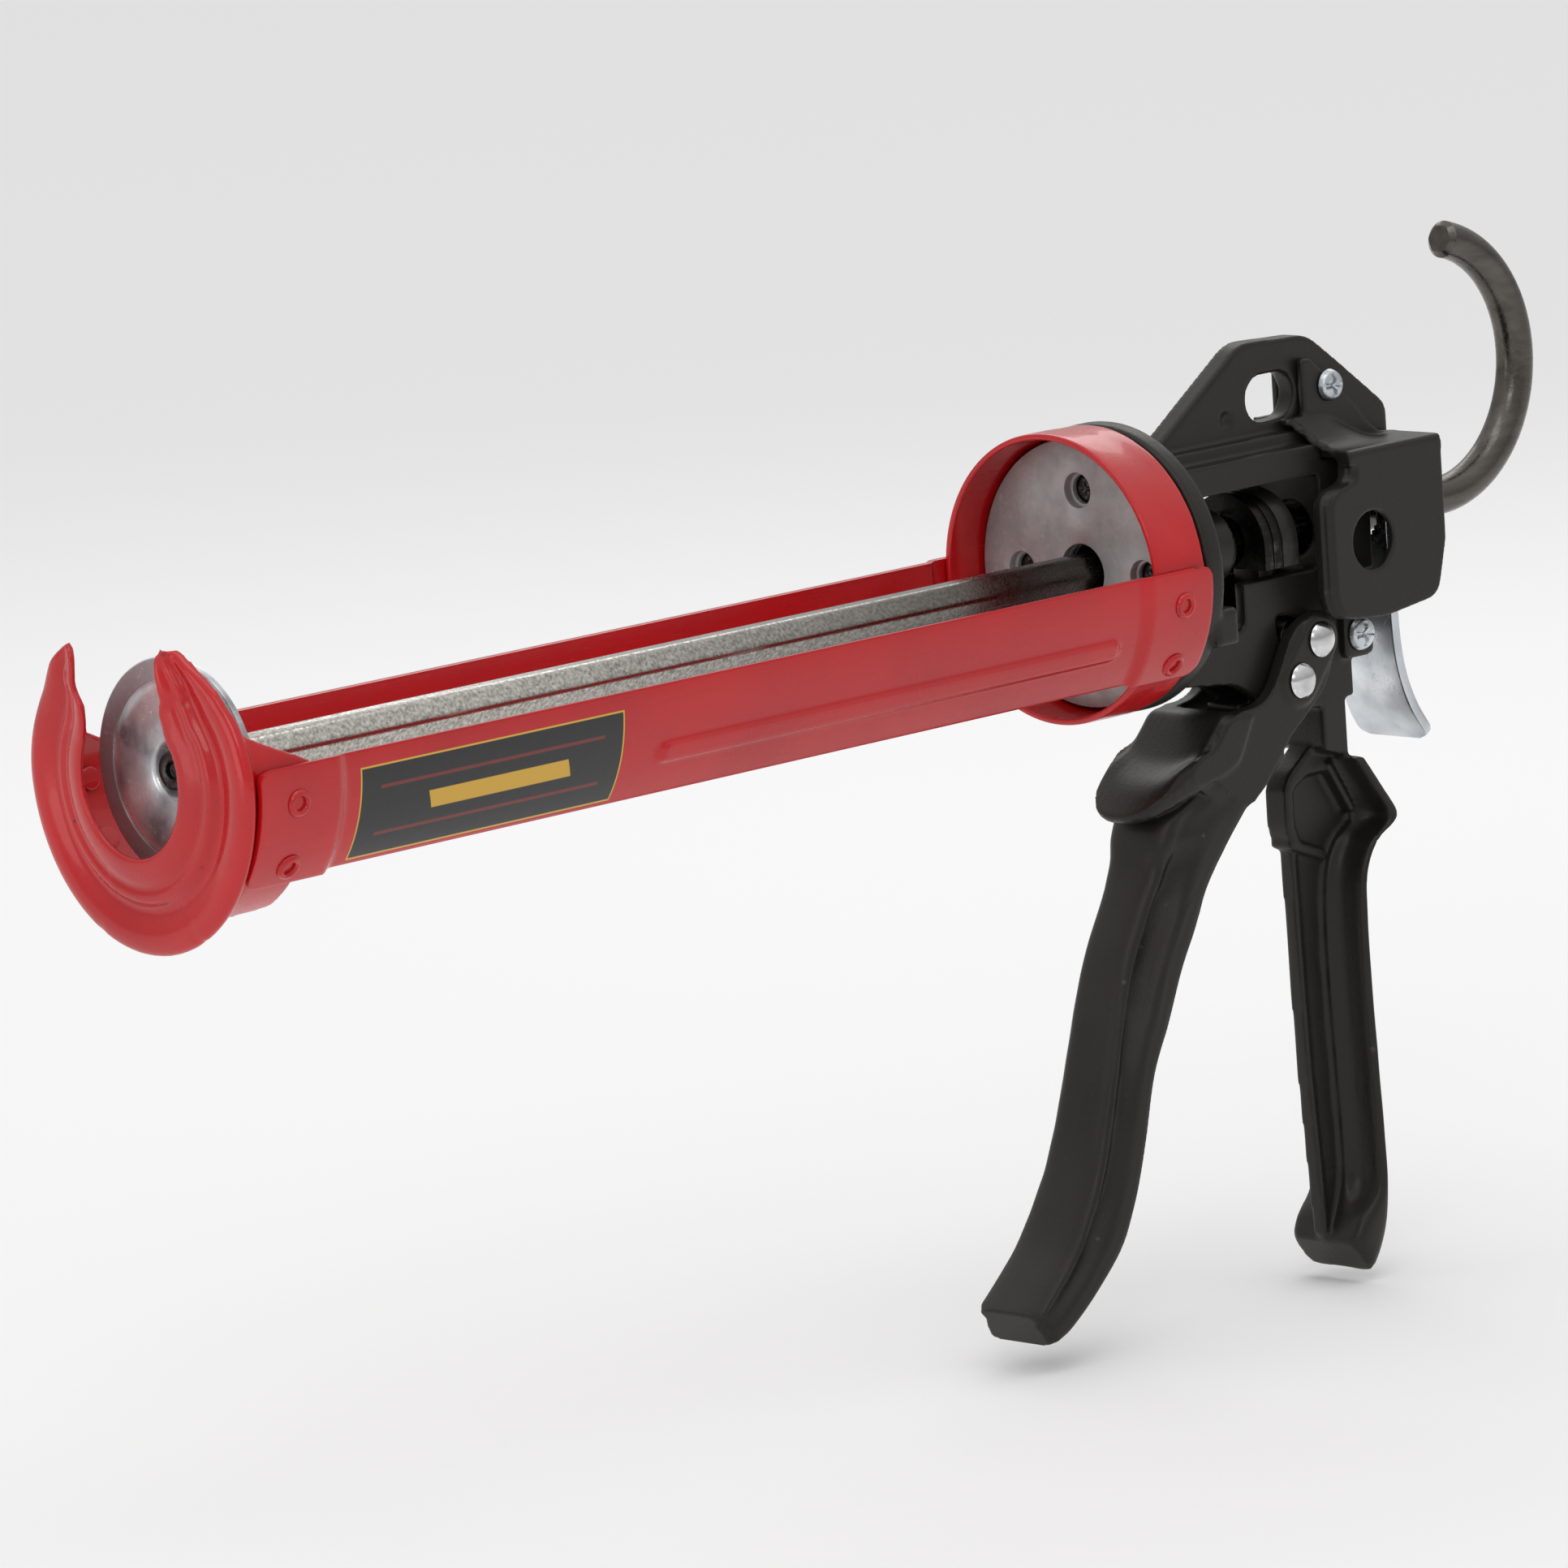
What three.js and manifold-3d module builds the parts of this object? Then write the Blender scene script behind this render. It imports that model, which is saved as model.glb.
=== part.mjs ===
// Caulking gun for 300 ml cartridges: a revolving open cradle, a hexagonal plunger rod with a
// pull hook, a cast frame with its fixed handle, a trigger, a friction drive and a release lever.
// Millimetres, +Z up. X runs along the rod from the nozzle end (-X) to the hook (+X).
// The origin is the centre of the plunger's nose with the rod fully forward.

import * as THREE from 'three';
import { mergeVertices } from 'three/addons/utils/BufferGeometryUtils.js';
import Module from 'manifold-3d';

const wasm = await Module();
wasm.setup();

// --- Driving dimensions -------------------------------------------------------------------
const gap = 0.3;                 // between pieces that touch on the real gun
const overshoot = 1;             // how far a cutting tool runs past the face it cuts

const cartridgeDiameter = 50;
const cartridgeRoom = 1.2;       // radial room round the cartridge
const cradleSheet = 1.2;         // pressed sheet of cap, rails and collar
const railLength = 230.2;
const railFront = 1;
const collarLength = 13.2;
const collarLip = 1.2;

const rodFlats = 7;
const rodRoom = 0.6;             // radial room round the rod's corners in every bore
const rodTail = 94.3;            // straight rod behind the frame flange's front face
const hookRadius = 25;
const hookSweep = THREE.MathUtils.degToRad(166);

const plungerRadius = 21;
const plungerSheet = 1.4;

const castingHalf = 8;           // half width of the frame's beams
const webHalf = 2.3;
const handleHalf = 2;            // half width of the handle's web
const cheekHalf = 6.5;
const channelHalf = 3.9;         // half width of the slot between the two cheeks
const armRoom = 0.8;             // side room between cheek and trigger arm
const triggerHalf = 11;
const gripHalf = 8.8;
const coverHalf = 15;
const coverSheet = 1.5;
const palmHalf = 9.5;

const squeeze = THREE.MathUtils.degToRad(30);
const leverSheet = 2.2;

// --- Sizes worked out from them -----------------------------------------------------------
const cradleInner = cartridgeDiameter / 2 + cartridgeRoom;
const cradleOuter = cradleInner + cradleSheet;
const railTabInner = cradleOuter + gap;
const railRear = railFront + railLength;
const collarFront = railRear - collarLength;
const flangeFront = railRear + 0.5;          // the rear group's own origin
const flangeThick = 4.5;
const hubRadius = cradleInner - 6.2;
const hubLength = 2;
const plateThick = 2.9;
const plateRear = -hubLength - gap;
const plateRadius = cradleInner - 0.8;
const plateScrewCircle = hubRadius - 4.4;
const rodCorner = rodFlats / Math.sqrt(3);
const rodBore = rodCorner + rodRoom;
const armInner = cheekHalf + armRoom;

// --- Colours and finishes -----------------------------------------------------------------
const finishes = {
  redPaint: [0xc0141a, 0.25, 0.1],
  blackCoat: [0x1d1c1b, 0.5, 0.2],
  bareCasting: [0xa9a6a2, 0.45, 0.9],
  brightSteel: [0x8d8a84, 0.35, 1],
  zincPlate: [0xcfd4d8, 0.28, 1],
  springSteel: [0x5c5a57, 0.4, 1],
};

// --- Geometry helpers ---------------------------------------------------------------------
// A geometry becomes a closed solid: shared corners, no collapsed triangles, faces outwards.
function solid(geometry) {
  const bare = geometry.clone();
  bare.deleteAttribute('normal');
  bare.deleteAttribute('uv');
  const merged = mergeVertices(bare, 1e-4);
  const position = merged.attributes.position;
  const index = merged.index.array;
  const kept = [];
  let volume = 0;
  const corner = [new THREE.Vector3(), new THREE.Vector3(), new THREE.Vector3()];
  for (let i = 0; i < index.length; i += 3) {
    const [a, b, c] = [index[i], index[i + 1], index[i + 2]];
    if (a === b || b === c || c === a) continue;
    kept.push(a, b, c);
    corner.forEach((v, k) => v.fromBufferAttribute(position, index[i + k]));
    volume += corner[0].dot(corner[1].clone().cross(corner[2]));
  }
  if (volume < 0) kept.reverse();
  const mesh = new wasm.Mesh({
    numProp: 3,
    vertProperties: new Float32Array(position.array),
    triVerts: new Uint32Array(kept),
  });
  mesh.merge();
  return new wasm.Manifold(mesh);
}

function join(...solids) {
  return solids.reduce((whole, next) => whole.add(next));
}

function cut(body, ...tools) {
  return tools.reduce((left, tool) => left.subtract(tool), body);
}

function meshOf(name, body, finish) {
  const { vertProperties, triVerts } = body.getMesh();
  const geometry = new THREE.BufferGeometry();
  geometry.setAttribute('position', new THREE.BufferAttribute(vertProperties, 3));
  geometry.setIndex(new THREE.BufferAttribute(triVerts, 1));
  geometry.computeVertexNormals();
  const [color, roughness, metalness] = finishes[finish];
  const mesh = new THREE.Mesh(geometry, new THREE.MeshStandardMaterial({ color, roughness, metalness }));
  mesh.name = name;
  return mesh;
}

// An outline from [u, v, cornerRadius] points; the corner radius may be left out, and it stays
// under half of the shorter edge beside it.
function outline(points) {
  const shape = new THREE.Shape();
  points.forEach(([u, v, wanted = 0], i) => {
    const here = new THREE.Vector2(u, v);
    const before = new THREE.Vector2(...points.at(i - 1)).sub(here);
    const after = new THREE.Vector2(...points[(i + 1) % points.length]).sub(here);
    const radius = Math.min(wanted, 0.45 * before.length(), 0.45 * after.length());
    const from = here.clone().add(before.setLength(radius));
    const to = here.clone().add(after.setLength(radius));
    if (i === 0) shape.moveTo(from.x, from.y);
    else shape.lineTo(from.x, from.y);
    if (radius > 0) shape.quadraticCurveTo(u, v, to.x, to.y);
  });
  shape.closePath();
  return shape;
}

function extrude(shape, depth, curveSegments = 4) {
  return new THREE.ExtrudeGeometry(shape, { depth, bevelEnabled: false, curveSegments });
}

// A side-view (X, Z) shape given its width from y0 to y1.
function alongY(shape, y0, y1, curveSegments) {
  return solid(extrude(shape, y1 - y0, curveSegments).rotateX(Math.PI / 2).translate(0, y1, 0));
}

// An end-view (Y, Z) shape given its length from x0 to x1.
function alongX(shape, x0, x1, curveSegments) {
  const turn = new THREE.Matrix4().makeBasis(
    new THREE.Vector3(0, 1, 0), new THREE.Vector3(0, 0, 1), new THREE.Vector3(1, 0, 0));
  return solid(extrude(shape, x1 - x0, curveSegments).applyMatrix4(turn).translate(x0, 0, 0));
}

function block(x0, x1, y0, y1, z0, z1) {
  const box = new THREE.BoxGeometry(x1 - x0, y1 - y0, z1 - z0);
  return solid(box.translate((x0 + x1) / 2, (y0 + y1) / 2, (z0 + z1) / 2));
}

// A round piece turned about the X axis from its [x, radius] profile.
function turned(profile, segments = 32) {
  const points = profile.map(([x, r]) => new THREE.Vector2(r, x));
  if (profile[0][1] > 0) points.push(points[0].clone());
  return solid(new THREE.LatheGeometry(points, segments).rotateZ(-Math.PI / 2));
}

function roundX(radius, x0, x1, y = 0, z = 0, segments = 24) {
  return turned([[x0, 0], [x0, radius], [x1, radius], [x1, 0]], segments).translate([0, y, z]);
}

function roundY(radius, y0, y1, x, z, segments = 20) {
  return turned([[y0, 0], [y0, radius], [y1, radius], [y1, 0]], segments)
    .rotate([0, 0, 90]).translate([x, 0, z]);
}

// A domed head on a shank, both on the X axis: head face towards -X, its seat at x = 0.
function fastener(headRadius, headHeight, shankRadius, shankLength) {
  return turned([
    [-headHeight, 0], [-headHeight * 0.92, headRadius * 0.45], [-headHeight * 0.5, headRadius * 0.88],
    [0, headRadius], [0, shankRadius], [shankLength, shankRadius], [shankLength, 0],
  ], 14);
}

// The second wall of a pressed profile, one sheet thickness inside the first.
function sheetProfile(outer, thickness) {
  const inner = outer.map(([x, r], i) => {
    const [ax, ar] = outer[Math.max(i - 1, 0)];
    const [bx, br] = outer[Math.min(i + 1, outer.length - 1)];
    const length = Math.hypot(bx - ax, br - ar);
    return [x + ((ar - br) / length) * thickness, r + ((bx - ax) / length) * thickness];
  });
  return [...outer, ...inner.reverse()];
}

class Helix extends THREE.Curve {
  constructor(radius, x0, x1, turns) {
    super();
    Object.assign(this, { radius, x0, x1, turns });
  }

  getPoint(t, target = new THREE.Vector3()) {
    const angle = 2 * Math.PI * this.turns * t;
    return target.set(
      THREE.MathUtils.lerp(this.x0, this.x1, t),
      this.radius * Math.cos(angle),
      this.radius * Math.sin(angle));
  }
}

function coilSpring(radius, wire, x0, x1, turns) {
  const section = new THREE.Shape().absarc(0, 0, wire / 2, 0, 2 * Math.PI);
  const path = new Helix(radius, x0 + wire / 2, x1 - wire / 2, turns);
  return solid(new THREE.ExtrudeGeometry(section, {
    steps: turns * 8, curveSegments: 3, extrudePath: path,
  }));
}

// --- Cradle: front cap, two rails, collar and their rivets --------------------------------
const capRimRadius = cradleOuter + 3.6;
const capSlotRadius = 14;
const capSlotHalf = 9.5;
const hornNarrowing = 4;         // how far the rim's upper half is drawn in towards the horn tips
const skirtRear = 8.5;
const skirtBottomHalf = 13;

function frontCap() {
  const face = cradleOuter;
  const pressing = [
    [skirtRear, face], [-0.8, face], [-2.4, face + 1.7], [-3.8, capRimRadius - 0.1],
    [-5.2, capRimRadius - 0.5], [-6.5, face + 1.6], [-7.1, face - 0.6], [-6.6, face - 2.4],
    [-7.3, face - 4], [-8.4, face - 5.2], [-8.1, face - 7.4], [-8.9, face - 9], [-9.2, 10],
  ];
  const cap = turned(sheetProfile(pressing, cradleSheet), 40);
  const reach = capRimRadius + overshoot;
  const slot = join(
    roundX(capSlotRadius, -12, 0, 0, 0, 32),
    block(-12, 0, -capSlotHalf, capSlotHalf, 0, reach));
  const aboveHorns = alongY(outline([
    [-12, 24.5], [-7.6, 24.5, 2], [-6, 15.5, 4], [-3.4, 8, 4], [0, 5, 4], [skirtRear + overshoot, 3],
    [skirtRear + overshoot, reach], [-12, reach],
  ]), -reach, reach);
  const hornSides = cut(
    block(-12, 0, -reach, reach, 0, reach),
    roundX(capRimRadius, -12 - overshoot, overshoot, 0, -hornNarrowing, 32));
  const betweenLobes = block(1.5, skirtRear + overshoot, -skirtBottomHalf, skirtBottomHalf, -reach, 0);
  return cut(cap, slot, aboveHorns, hornSides, betweenLobes);
}

const railTop = 2.6;
const railBottom = -18.5;
const joggleFront = 13.5;
const joggleRear = collarFront - 3;
const joggleRun = 2;
const railTabDrop = railTabInner - cradleInner - gap;   // how far the tabs stand out

// Rivet places along X for each rail end, and their height angles in the rail's band.
const rivetFront = 3.6;
const rivetRear = railRear - 7.5;
const rivetAngles = { upper: -8, lower: -32 };
const rivetHole = 1.6;
const rivetShank = 1.3;
const rivetHead = 2.3;
const rivetHeadHeight = 0.6;

// A tool or fastener built about the X axis, stood on the cradle wall at a height angle.
function onWall(piece, side, angle, x) {
  return piece.rotate([0, 0, side < 0 ? 90 : -90]).rotate([side < 0 ? -angle : angle, 0, 0])
    .translate([x, 0, 0]);
}

function rivetTool(side, angle, x) {
  return onWall(roundX(rivetHole, -railTabInner - 4, -cradleInner + 2, 0, 0, 10), side, angle, x);
}

function wallHoles(side, places) {
  return places.flatMap(x => Object.values(rivetAngles).map(angle => rivetTool(side, angle, x)));
}

function rail(side) {
  const profile = [
    [railFront, railTabInner], [joggleFront, railTabInner],
    [joggleFront + joggleRun, railTabInner - railTabDrop],
    [joggleRear - joggleRun, railTabInner - railTabDrop],
    [joggleRear, railTabInner], [railRear, railTabInner],
    [railRear, railTabInner + cradleSheet], [joggleRear, railTabInner + cradleSheet],
    [joggleRear - joggleRun, cradleOuter + gap], [joggleFront + joggleRun, cradleOuter + gap],
    [joggleFront, railTabInner + cradleSheet], [railFront, railTabInner + cradleSheet],
  ];
  const tube = turned(profile, 60);
  const reach = railTabInner + cradleSheet + overshoot;
  const [near, far] = side < 0 ? [-reach, 0] : [0, reach];
  const band = block(0, railRear + overshoot, near, far, railBottom, railTop);
  return cut(tube.intersect(band), ...wallHoles(side, [rivetFront, rivetRear]));
}

function collar() {
  const ring = turned([
    [collarFront, cradleInner], [collarFront, cradleOuter], [railRear, cradleOuter],
    [railRear, hubRadius + 0.6], [railRear - collarLip, hubRadius + 0.6],
    [railRear - collarLip, cradleInner],
  ], 48);
  return cut(ring, ...wallHoles(-1, [rivetRear]), ...wallHoles(1, [rivetRear]));
}

function railRivet(side, angle, x) {
  const outside = railTabInner + cradleSheet + gap;
  const sag = cradleInner - Math.sqrt(cradleInner ** 2 - rivetHead ** 2);
  const inside = cradleInner - sag - gap;
  const rivet = turned([
    [-outside - rivetHeadHeight, 0], [-outside - rivetHeadHeight, rivetHead * 0.8], [-outside, rivetHead],
    [-outside, rivetShank], [-inside, rivetShank], [-inside, rivetHead],
    [-inside + rivetHeadHeight * 0.8, rivetHead * 0.9], [-inside + rivetHeadHeight * 0.8, 0],
  ], 10);
  return onWall(rivet, side, angle, x);
}

function buildCradle() {
  const group = new THREE.Group();
  const cap = cut(frontCap(), ...wallHoles(-1, [rivetFront]), ...wallHoles(1, [rivetFront]));
  group.add(meshOf('front_cap', cap, 'redPaint'));
  group.add(meshOf('collar', collar(), 'redPaint'));
  for (const [side, sideName] of [[-1, 'left'], [1, 'right']]) {
    group.add(meshOf(`rail_${sideName}`, rail(side), 'redPaint'));
    for (const [end, x] of [['front', rivetFront], ['rear', rivetRear]]) {
      for (const [level, angle] of Object.entries(rivetAngles)) {
        group.add(meshOf(`rail_rivet_${sideName}_${end}_${level}`, railRivet(side, angle, x), 'redPaint'));
      }
    }
  }
  return group;
}

// --- Plunger and rod ----------------------------------------------------------------------
const noseHead = 3.6;
const noseShank = 2.1;
const noseBore = noseShank + gap;
const discFloor = 2.2;           // where the disc's recessed middle starts
const washerFront = discFloor + plungerSheet + gap;
const washerThick = 1.2;
const rodFront = washerFront + washerThick + gap;
const noseDepth = 8;

function plungerDisc() {
  const front = [
    [discFloor, noseBore], [discFloor, noseHead + 0.6], [0.5, noseHead + 1.8], [0.4, 9], [0.6, 14.6],
    [1.1, 16], [1.1, plungerRadius],
  ];
  const back = front.map(([x, r]) => [x + plungerSheet, r]).reverse();
  return turned([...front, ...back], 32);
}

function plungerWasher() {
  return turned([
    [washerFront, noseBore], [washerFront, 9], [washerFront + washerThick, 9],
    [washerFront + washerThick, noseBore],
  ], 24);
}

// The rod's centre line: one straight run, then the hook's arc in equal steps.
class RodLine extends THREE.Curve {
  constructor(steps) {
    super();
    this.steps = steps;
  }

  hookAngle(u) {
    return hookSweep * Math.max(0, (u * this.steps - 1) / (this.steps - 1));
  }

  getPointAt(u, target = new THREE.Vector3()) {
    if (u === 0) return target.set(rodFront, 0, 0);
    const angle = this.hookAngle(u);
    const bend = flangeFront + rodTail;
    return target.set(bend + hookRadius * Math.sin(angle), 0, hookRadius * (1 - Math.cos(angle)));
  }

  getTangentAt(u, target = new THREE.Vector3()) {
    const angle = this.hookAngle(u);
    return target.set(Math.cos(angle), 0, Math.sin(angle));
  }
}

function rod() {
  const section = new THREE.Shape();
  for (let i = 0; i < 6; i += 1) {
    const angle = ((i + 0.5) * Math.PI) / 3;
    const place = [rodCorner * Math.cos(angle + Math.PI / 6), rodCorner * Math.sin(angle + Math.PI / 6)];
    if (i === 0) section.moveTo(...place);
    else section.lineTo(...place);
  }
  section.closePath();
  const steps = 25;
  const bar = solid(new THREE.ExtrudeGeometry(section, {
    steps, bevelEnabled: false, extrudePath: new RodLine(steps),
  }));
  return cut(bar, roundX(noseBore, rodFront - overshoot, noseDepth + gap + discFloor));
}

function buildPlungerAndRod() {
  const group = new THREE.Group();
  const headHeight = discFloor - gap;
  const nose = turned([
    [0, 0], [0, noseHead - 0.6], [0.5, noseHead], [headHeight, noseHead], [headHeight, noseShank],
    [headHeight + noseDepth, noseShank], [headHeight + noseDepth, 0],
  ], 16);
  group.add(meshOf('plunger_disc', plungerDisc(), 'zincPlate'));
  group.add(meshOf('plunger_washer', plungerWasher(), 'zincPlate'));
  group.add(meshOf('plunger_nose_screw', nose, 'springSteel'));
  group.add(meshOf('plunger_rod', rod(), 'brightSteel'));
  return group;
}

// --- Rear group: everything from here on is placed from the flange's front face -----------
const pivot = { x: 41.3, z: -27 };
const driveArm = { x: 6, z: 7 };             // from the pivot to the upper rivet, trigger released
const upper = { x: pivot.x + driveArm.x, z: pivot.z + driveArm.z };
const driveStroke = driveArm.x - driveArm.x * Math.cos(squeeze) + driveArm.z * Math.sin(squeeze);
const pinRadius = 2;
const pinBore = pinRadius + gap;
const sleeveRadius = 3.2;
const driveRoom = 0.5;                       // between the sleeve and the drive block's leg

const blockRear = upper.x - sleeveRadius - driveRoom;
const blockThick = 4.3;
const blockHalf = 10;
const blockTop = 9.3;
const blockBottom = -5;
const legHalf = 3.3;
const legBottom = pivot.z + 4;
const gripPlateThick = 2.2;
const gripPlates = 2;
const stackFront = blockRear - blockThick - gripPlates * (gripPlateThick + gap);

const windowTop = 10.8;
const beamTop = 17;
const lowerBeamTop = -16;
const postRear = 11;
const bossRear = stackFront - driveStroke - 0.5;
const springRoom = 1.4;          // between the rod's flats and the coil
const springWire = 1;
const springOuter = rodFlats / 2 + springRoom + springWire;
const springPocket = springOuter + gap;
const bossWall = 1;
const bossRadius = springPocket + bossWall;
const springSeat = flangeThick + 2;

const wallFront = 52.5;
const wallRear = 60.5;
const coverFront = 48.3;
const coverRear = 80;
const coverTop = 15.2;
const coverFloor = -17.5;
const rearBeamTop = coverTop - coverSheet - gap;
const leverFront = 69.8;
const leverPivot = { x: leverFront + leverSheet / 2, z: 11 };
const leverTop = leverPivot.z + 0.9;
const leverHalf = 8;
const coverScrew = { x: 60.9, z: 26.5 };
const lugScrew = { x: 60.5, z: -21 };
const lugHalf = 8.8;

// The screws that hold the front plate stand on one circle round the rod.
const plateScrewAngles = [0, 90, 180, 270];
const plateScrewHole = 2;
const plateScrewHead = 2.9;
const counterbore = { radius: plateScrewHead + 0.4, depth: 1.7 };

function plateScrewPlace(angle) {
  const place = THREE.MathUtils.degToRad(angle);
  return [plateScrewCircle * Math.cos(place), plateScrewCircle * Math.sin(place)];
}

function flange() {
  const disc = turned([
    [-hubLength, 0], [-hubLength, hubRadius], [0, hubRadius], [0, cradleOuter], [flangeThick, cradleOuter],
    [flangeThick, 0],
  ], 48);
  const lugs = [-1, 1].map(side => {
    const y = side * (cradleOuter - 4.5);
    return block(flangeThick - overshoot, flangeThick + 4.5, y - 3, y + 3, -14, -7);
  });
  return join(disc, ...lugs);
}

function topWeb() {
  const plate = outline([
    [15, beamTop - 2], [15, 20.9, 1], [39.3, 37.3, 3], [57.8, 36.6, 3], [66.3, 30.3], [79, 20.5, 2],
    [79, beamTop - 3],
  ]);
  const hangHole = outline([[39.8, 21.7, 4], [53.5, 21.7, 4], [53.5, 30.5, 4], [39.8, 30.5, 4]]);
  plate.holes.push(hangHole);
  return alongY(plate, -webHalf, webHalf);
}

// The handle's thin web and, behind it, the wide palm flange that turns forward at the foot.
function handle() {
  const web = outline([
    [52, -30], [52, -42], [45.2, -46.4, 2], [43.6, -49, 1], [43.6, -57, 2], [45.8, -61.5, 2], [46.6, -85],
    [47.1, -104], [48.4, -126, 6], [49, -137, 1], [53, -140, 2], [57, -132, 6], [56, -66, 3],
    [64.5, -56.5, 2], [57.8, -44, 3], [57.8, -30],
  ]);
  const palm = new THREE.Shape();
  palm.moveTo(54.6, -68);
  palm.splineThru([[55, -90], [55.4, -118], [55.3, -130], [49.4, -139.5]]
    .map(p => new THREE.Vector2(...p)));
  palm.quadraticCurveTo(50, -143.4, 54.6, -146);
  palm.splineThru([[57.4, -141.5], [59.7, -130], [59.2, -110], [58.4, -85], [58.2, -70]]
    .map(p => new THREE.Vector2(...p)));
  palm.quadraticCurveTo(58.4, -63, 68.6, -58.5);
  palm.lineTo(68.2, -55.5);
  palm.lineTo(60.5, -46);
  palm.lineTo(57.5, -46);
  palm.lineTo(64, -56.5);
  palm.quadraticCurveTo(54.8, -61, 54.6, -68);
  return join(
    alongY(web, -handleHalf, handleHalf),
    alongY(palm, -palmHalf, palmHalf, 5),
    block(51.5, 58.2, -cheekHalf, cheekHalf, -45, -30));
}

function trackSlot() {
  const radius = Math.hypot(driveArm.x, driveArm.z);
  const half = pinRadius + 0.7;
  const margin = half / radius;
  const start = Math.atan2(driveArm.z, driveArm.x) - margin;
  const end = start + squeeze + 2 * margin;
  const slot = new THREE.Shape();
  slot.absarc(pivot.x, pivot.z, radius + half, start, end, false);
  slot.absarc(pivot.x, pivot.z, radius - half, end, start, true);
  slot.closePath();
  return alongY(slot, -cheekHalf - overshoot, cheekHalf + overshoot, 8);
}

function frameCasting() {
  const cheeks = outline([
    [postRear - overshoot, lowerBeamTop], [31.5, lowerBeamTop, 2], [31.5, -7.2, 1], [wallRear, -7.2],
    [wallRear, -33], [48, -34, 3], [pivot.x, pivot.z - 7.5, 5], [34, -30, 4], [28, -26, 3],
    [postRear - overshoot, -24],
  ]);
  const body = join(
    flange(),
    block(flangeThick - overshoot, postRear, -castingHalf, castingHalf, -24, beamTop),
    roundX(bossRadius, flangeThick - overshoot, bossRear),
    block(flangeThick - overshoot, coverFront - 0.8, -castingHalf, castingHalf, windowTop, beamTop),
    block(flangeThick, 77, -castingHalf, castingHalf, windowTop + 1.4, rearBeamTop),
    block(leverPivot.x + leverSheet / 2 + 0.4, 77, -castingHalf, castingHalf, 8, rearBeamTop),
    topWeb(),
    alongY(cheeks, -cheekHalf, cheekHalf),
    block(wallFront, wallRear, -castingHalf, castingHalf, -8.5, windowTop + 2),
    block(56.5, 64.5, -lugHalf, lugHalf, lugScrew.z - 4.5, lugScrew.z + 4.5),
    handle());
  const screwHoles = plateScrewAngles.map(angle => {
    return roundX(plateScrewHole, -hubLength - overshoot, 3, ...plateScrewPlace(angle), 12);
  });
  return cut(body,
    roundX(rodBore, -hubLength - overshoot, wallRear + overshoot),
    roundX(springPocket, springSeat, bossRear + overshoot),
    block(33, 51.6, -channelHalf, channelHalf, upper.z - sleeveRadius - 0.5, -7.2 + overshoot),
    trackSlot(),
    roundY(pinBore, -cheekHalf - overshoot, cheekHalf + overshoot, pivot.x, pivot.z),
    roundY(1.8, -webHalf - overshoot, webHalf + overshoot, coverScrew.x, coverScrew.z, 12),
    roundY(2.1, -lugHalf - overshoot, lugHalf + overshoot, lugScrew.x, lugScrew.z, 12),
    ...screwHoles);
}

function frontPlate() {
  const front = plateRear - plateThick;
  const plate = turned([
    [front, 0], [front, plateRadius - 0.6], [front + 0.6, plateRadius], [plateRear, plateRadius],
    [plateRear, 0],
  ], 40);
  const tools = plateScrewAngles.flatMap(angle => {
    const place = plateScrewPlace(angle);
    return [
      roundX(counterbore.radius, front - overshoot, front + counterbore.depth, ...place, 14),
      roundX(plateScrewHole, front - overshoot, plateRear + overshoot, ...place, 12),
    ];
  });
  return cut(plate, roundX(rodBore + 0.8, front - overshoot, plateRear + overshoot), ...tools);
}

function plateScrew(angle) {
  const seat = plateRear - plateThick + counterbore.depth - gap;
  return fastener(plateScrewHead, 1.1, plateScrewHole - 0.4, 4.8)
    .translate([seat, ...plateScrewPlace(angle)]);
}

// Left cover; the right one is its mirror image.
function cover(side) {
  const face = outline([
    [coverFront, coverFloor, 7], [62, coverFloor - 0.3], [77, -15.8, 2], [coverRear, -5],
    [coverRear, coverTop], [55.3, coverTop], [55.3, 9.5, 2], [coverFront, 8, 2],
  ]);
  const window = new THREE.Path().absarc(59.3, -2.5, 5.7, 0, 2 * Math.PI, true);
  face.holes.push(window);
  const tab = outline([
    [53.9, coverTop - 1], [54.2, 31.5, 1.5], [55.8, 32.4, 1], [68.5, 21.5, 2], [72, coverTop - 1],
  ]);
  const tabRear = -webHalf - gap;
  const shell = join(
    alongY(face, -coverHalf, -coverHalf + coverSheet, 8),
    block(53.9, coverRear, -coverHalf, tabRear, coverTop - coverSheet, coverTop),
    block(coverRear - coverSheet, coverRear, -coverHalf, -rodBore - 0.6, -5.5, coverTop),
    alongY(tab, tabRear - coverSheet, tabRear));
  const hole = roundY(1.8, -coverHalf, 0, coverScrew.x, coverScrew.z, 12);
  const left = cut(shell, hole);
  return side < 0 ? left : left.mirror([0, 1, 0]);
}

function coverScrewPiece(side) {
  const seat = webHalf + gap + coverSheet + gap;
  const screw = fastener(2.8, 1.5, 1.5, seat - gap).rotate([0, 0, 90])
    .translate([coverScrew.x, -seat, coverScrew.z]);
  return side < 0 ? screw : screw.mirror([0, 1, 0]);
}

function lugNut() {
  const hex = new THREE.CylinderGeometry(3.4, 3.4, 2.6, 6).translate(0, lugHalf + gap + 1.3, 0);
  return cut(solid(hex), roundY(2.1, 0, lugHalf + 5, 0, 0, 12)).translate([lugScrew.x, 0, lugScrew.z]);
}

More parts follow.
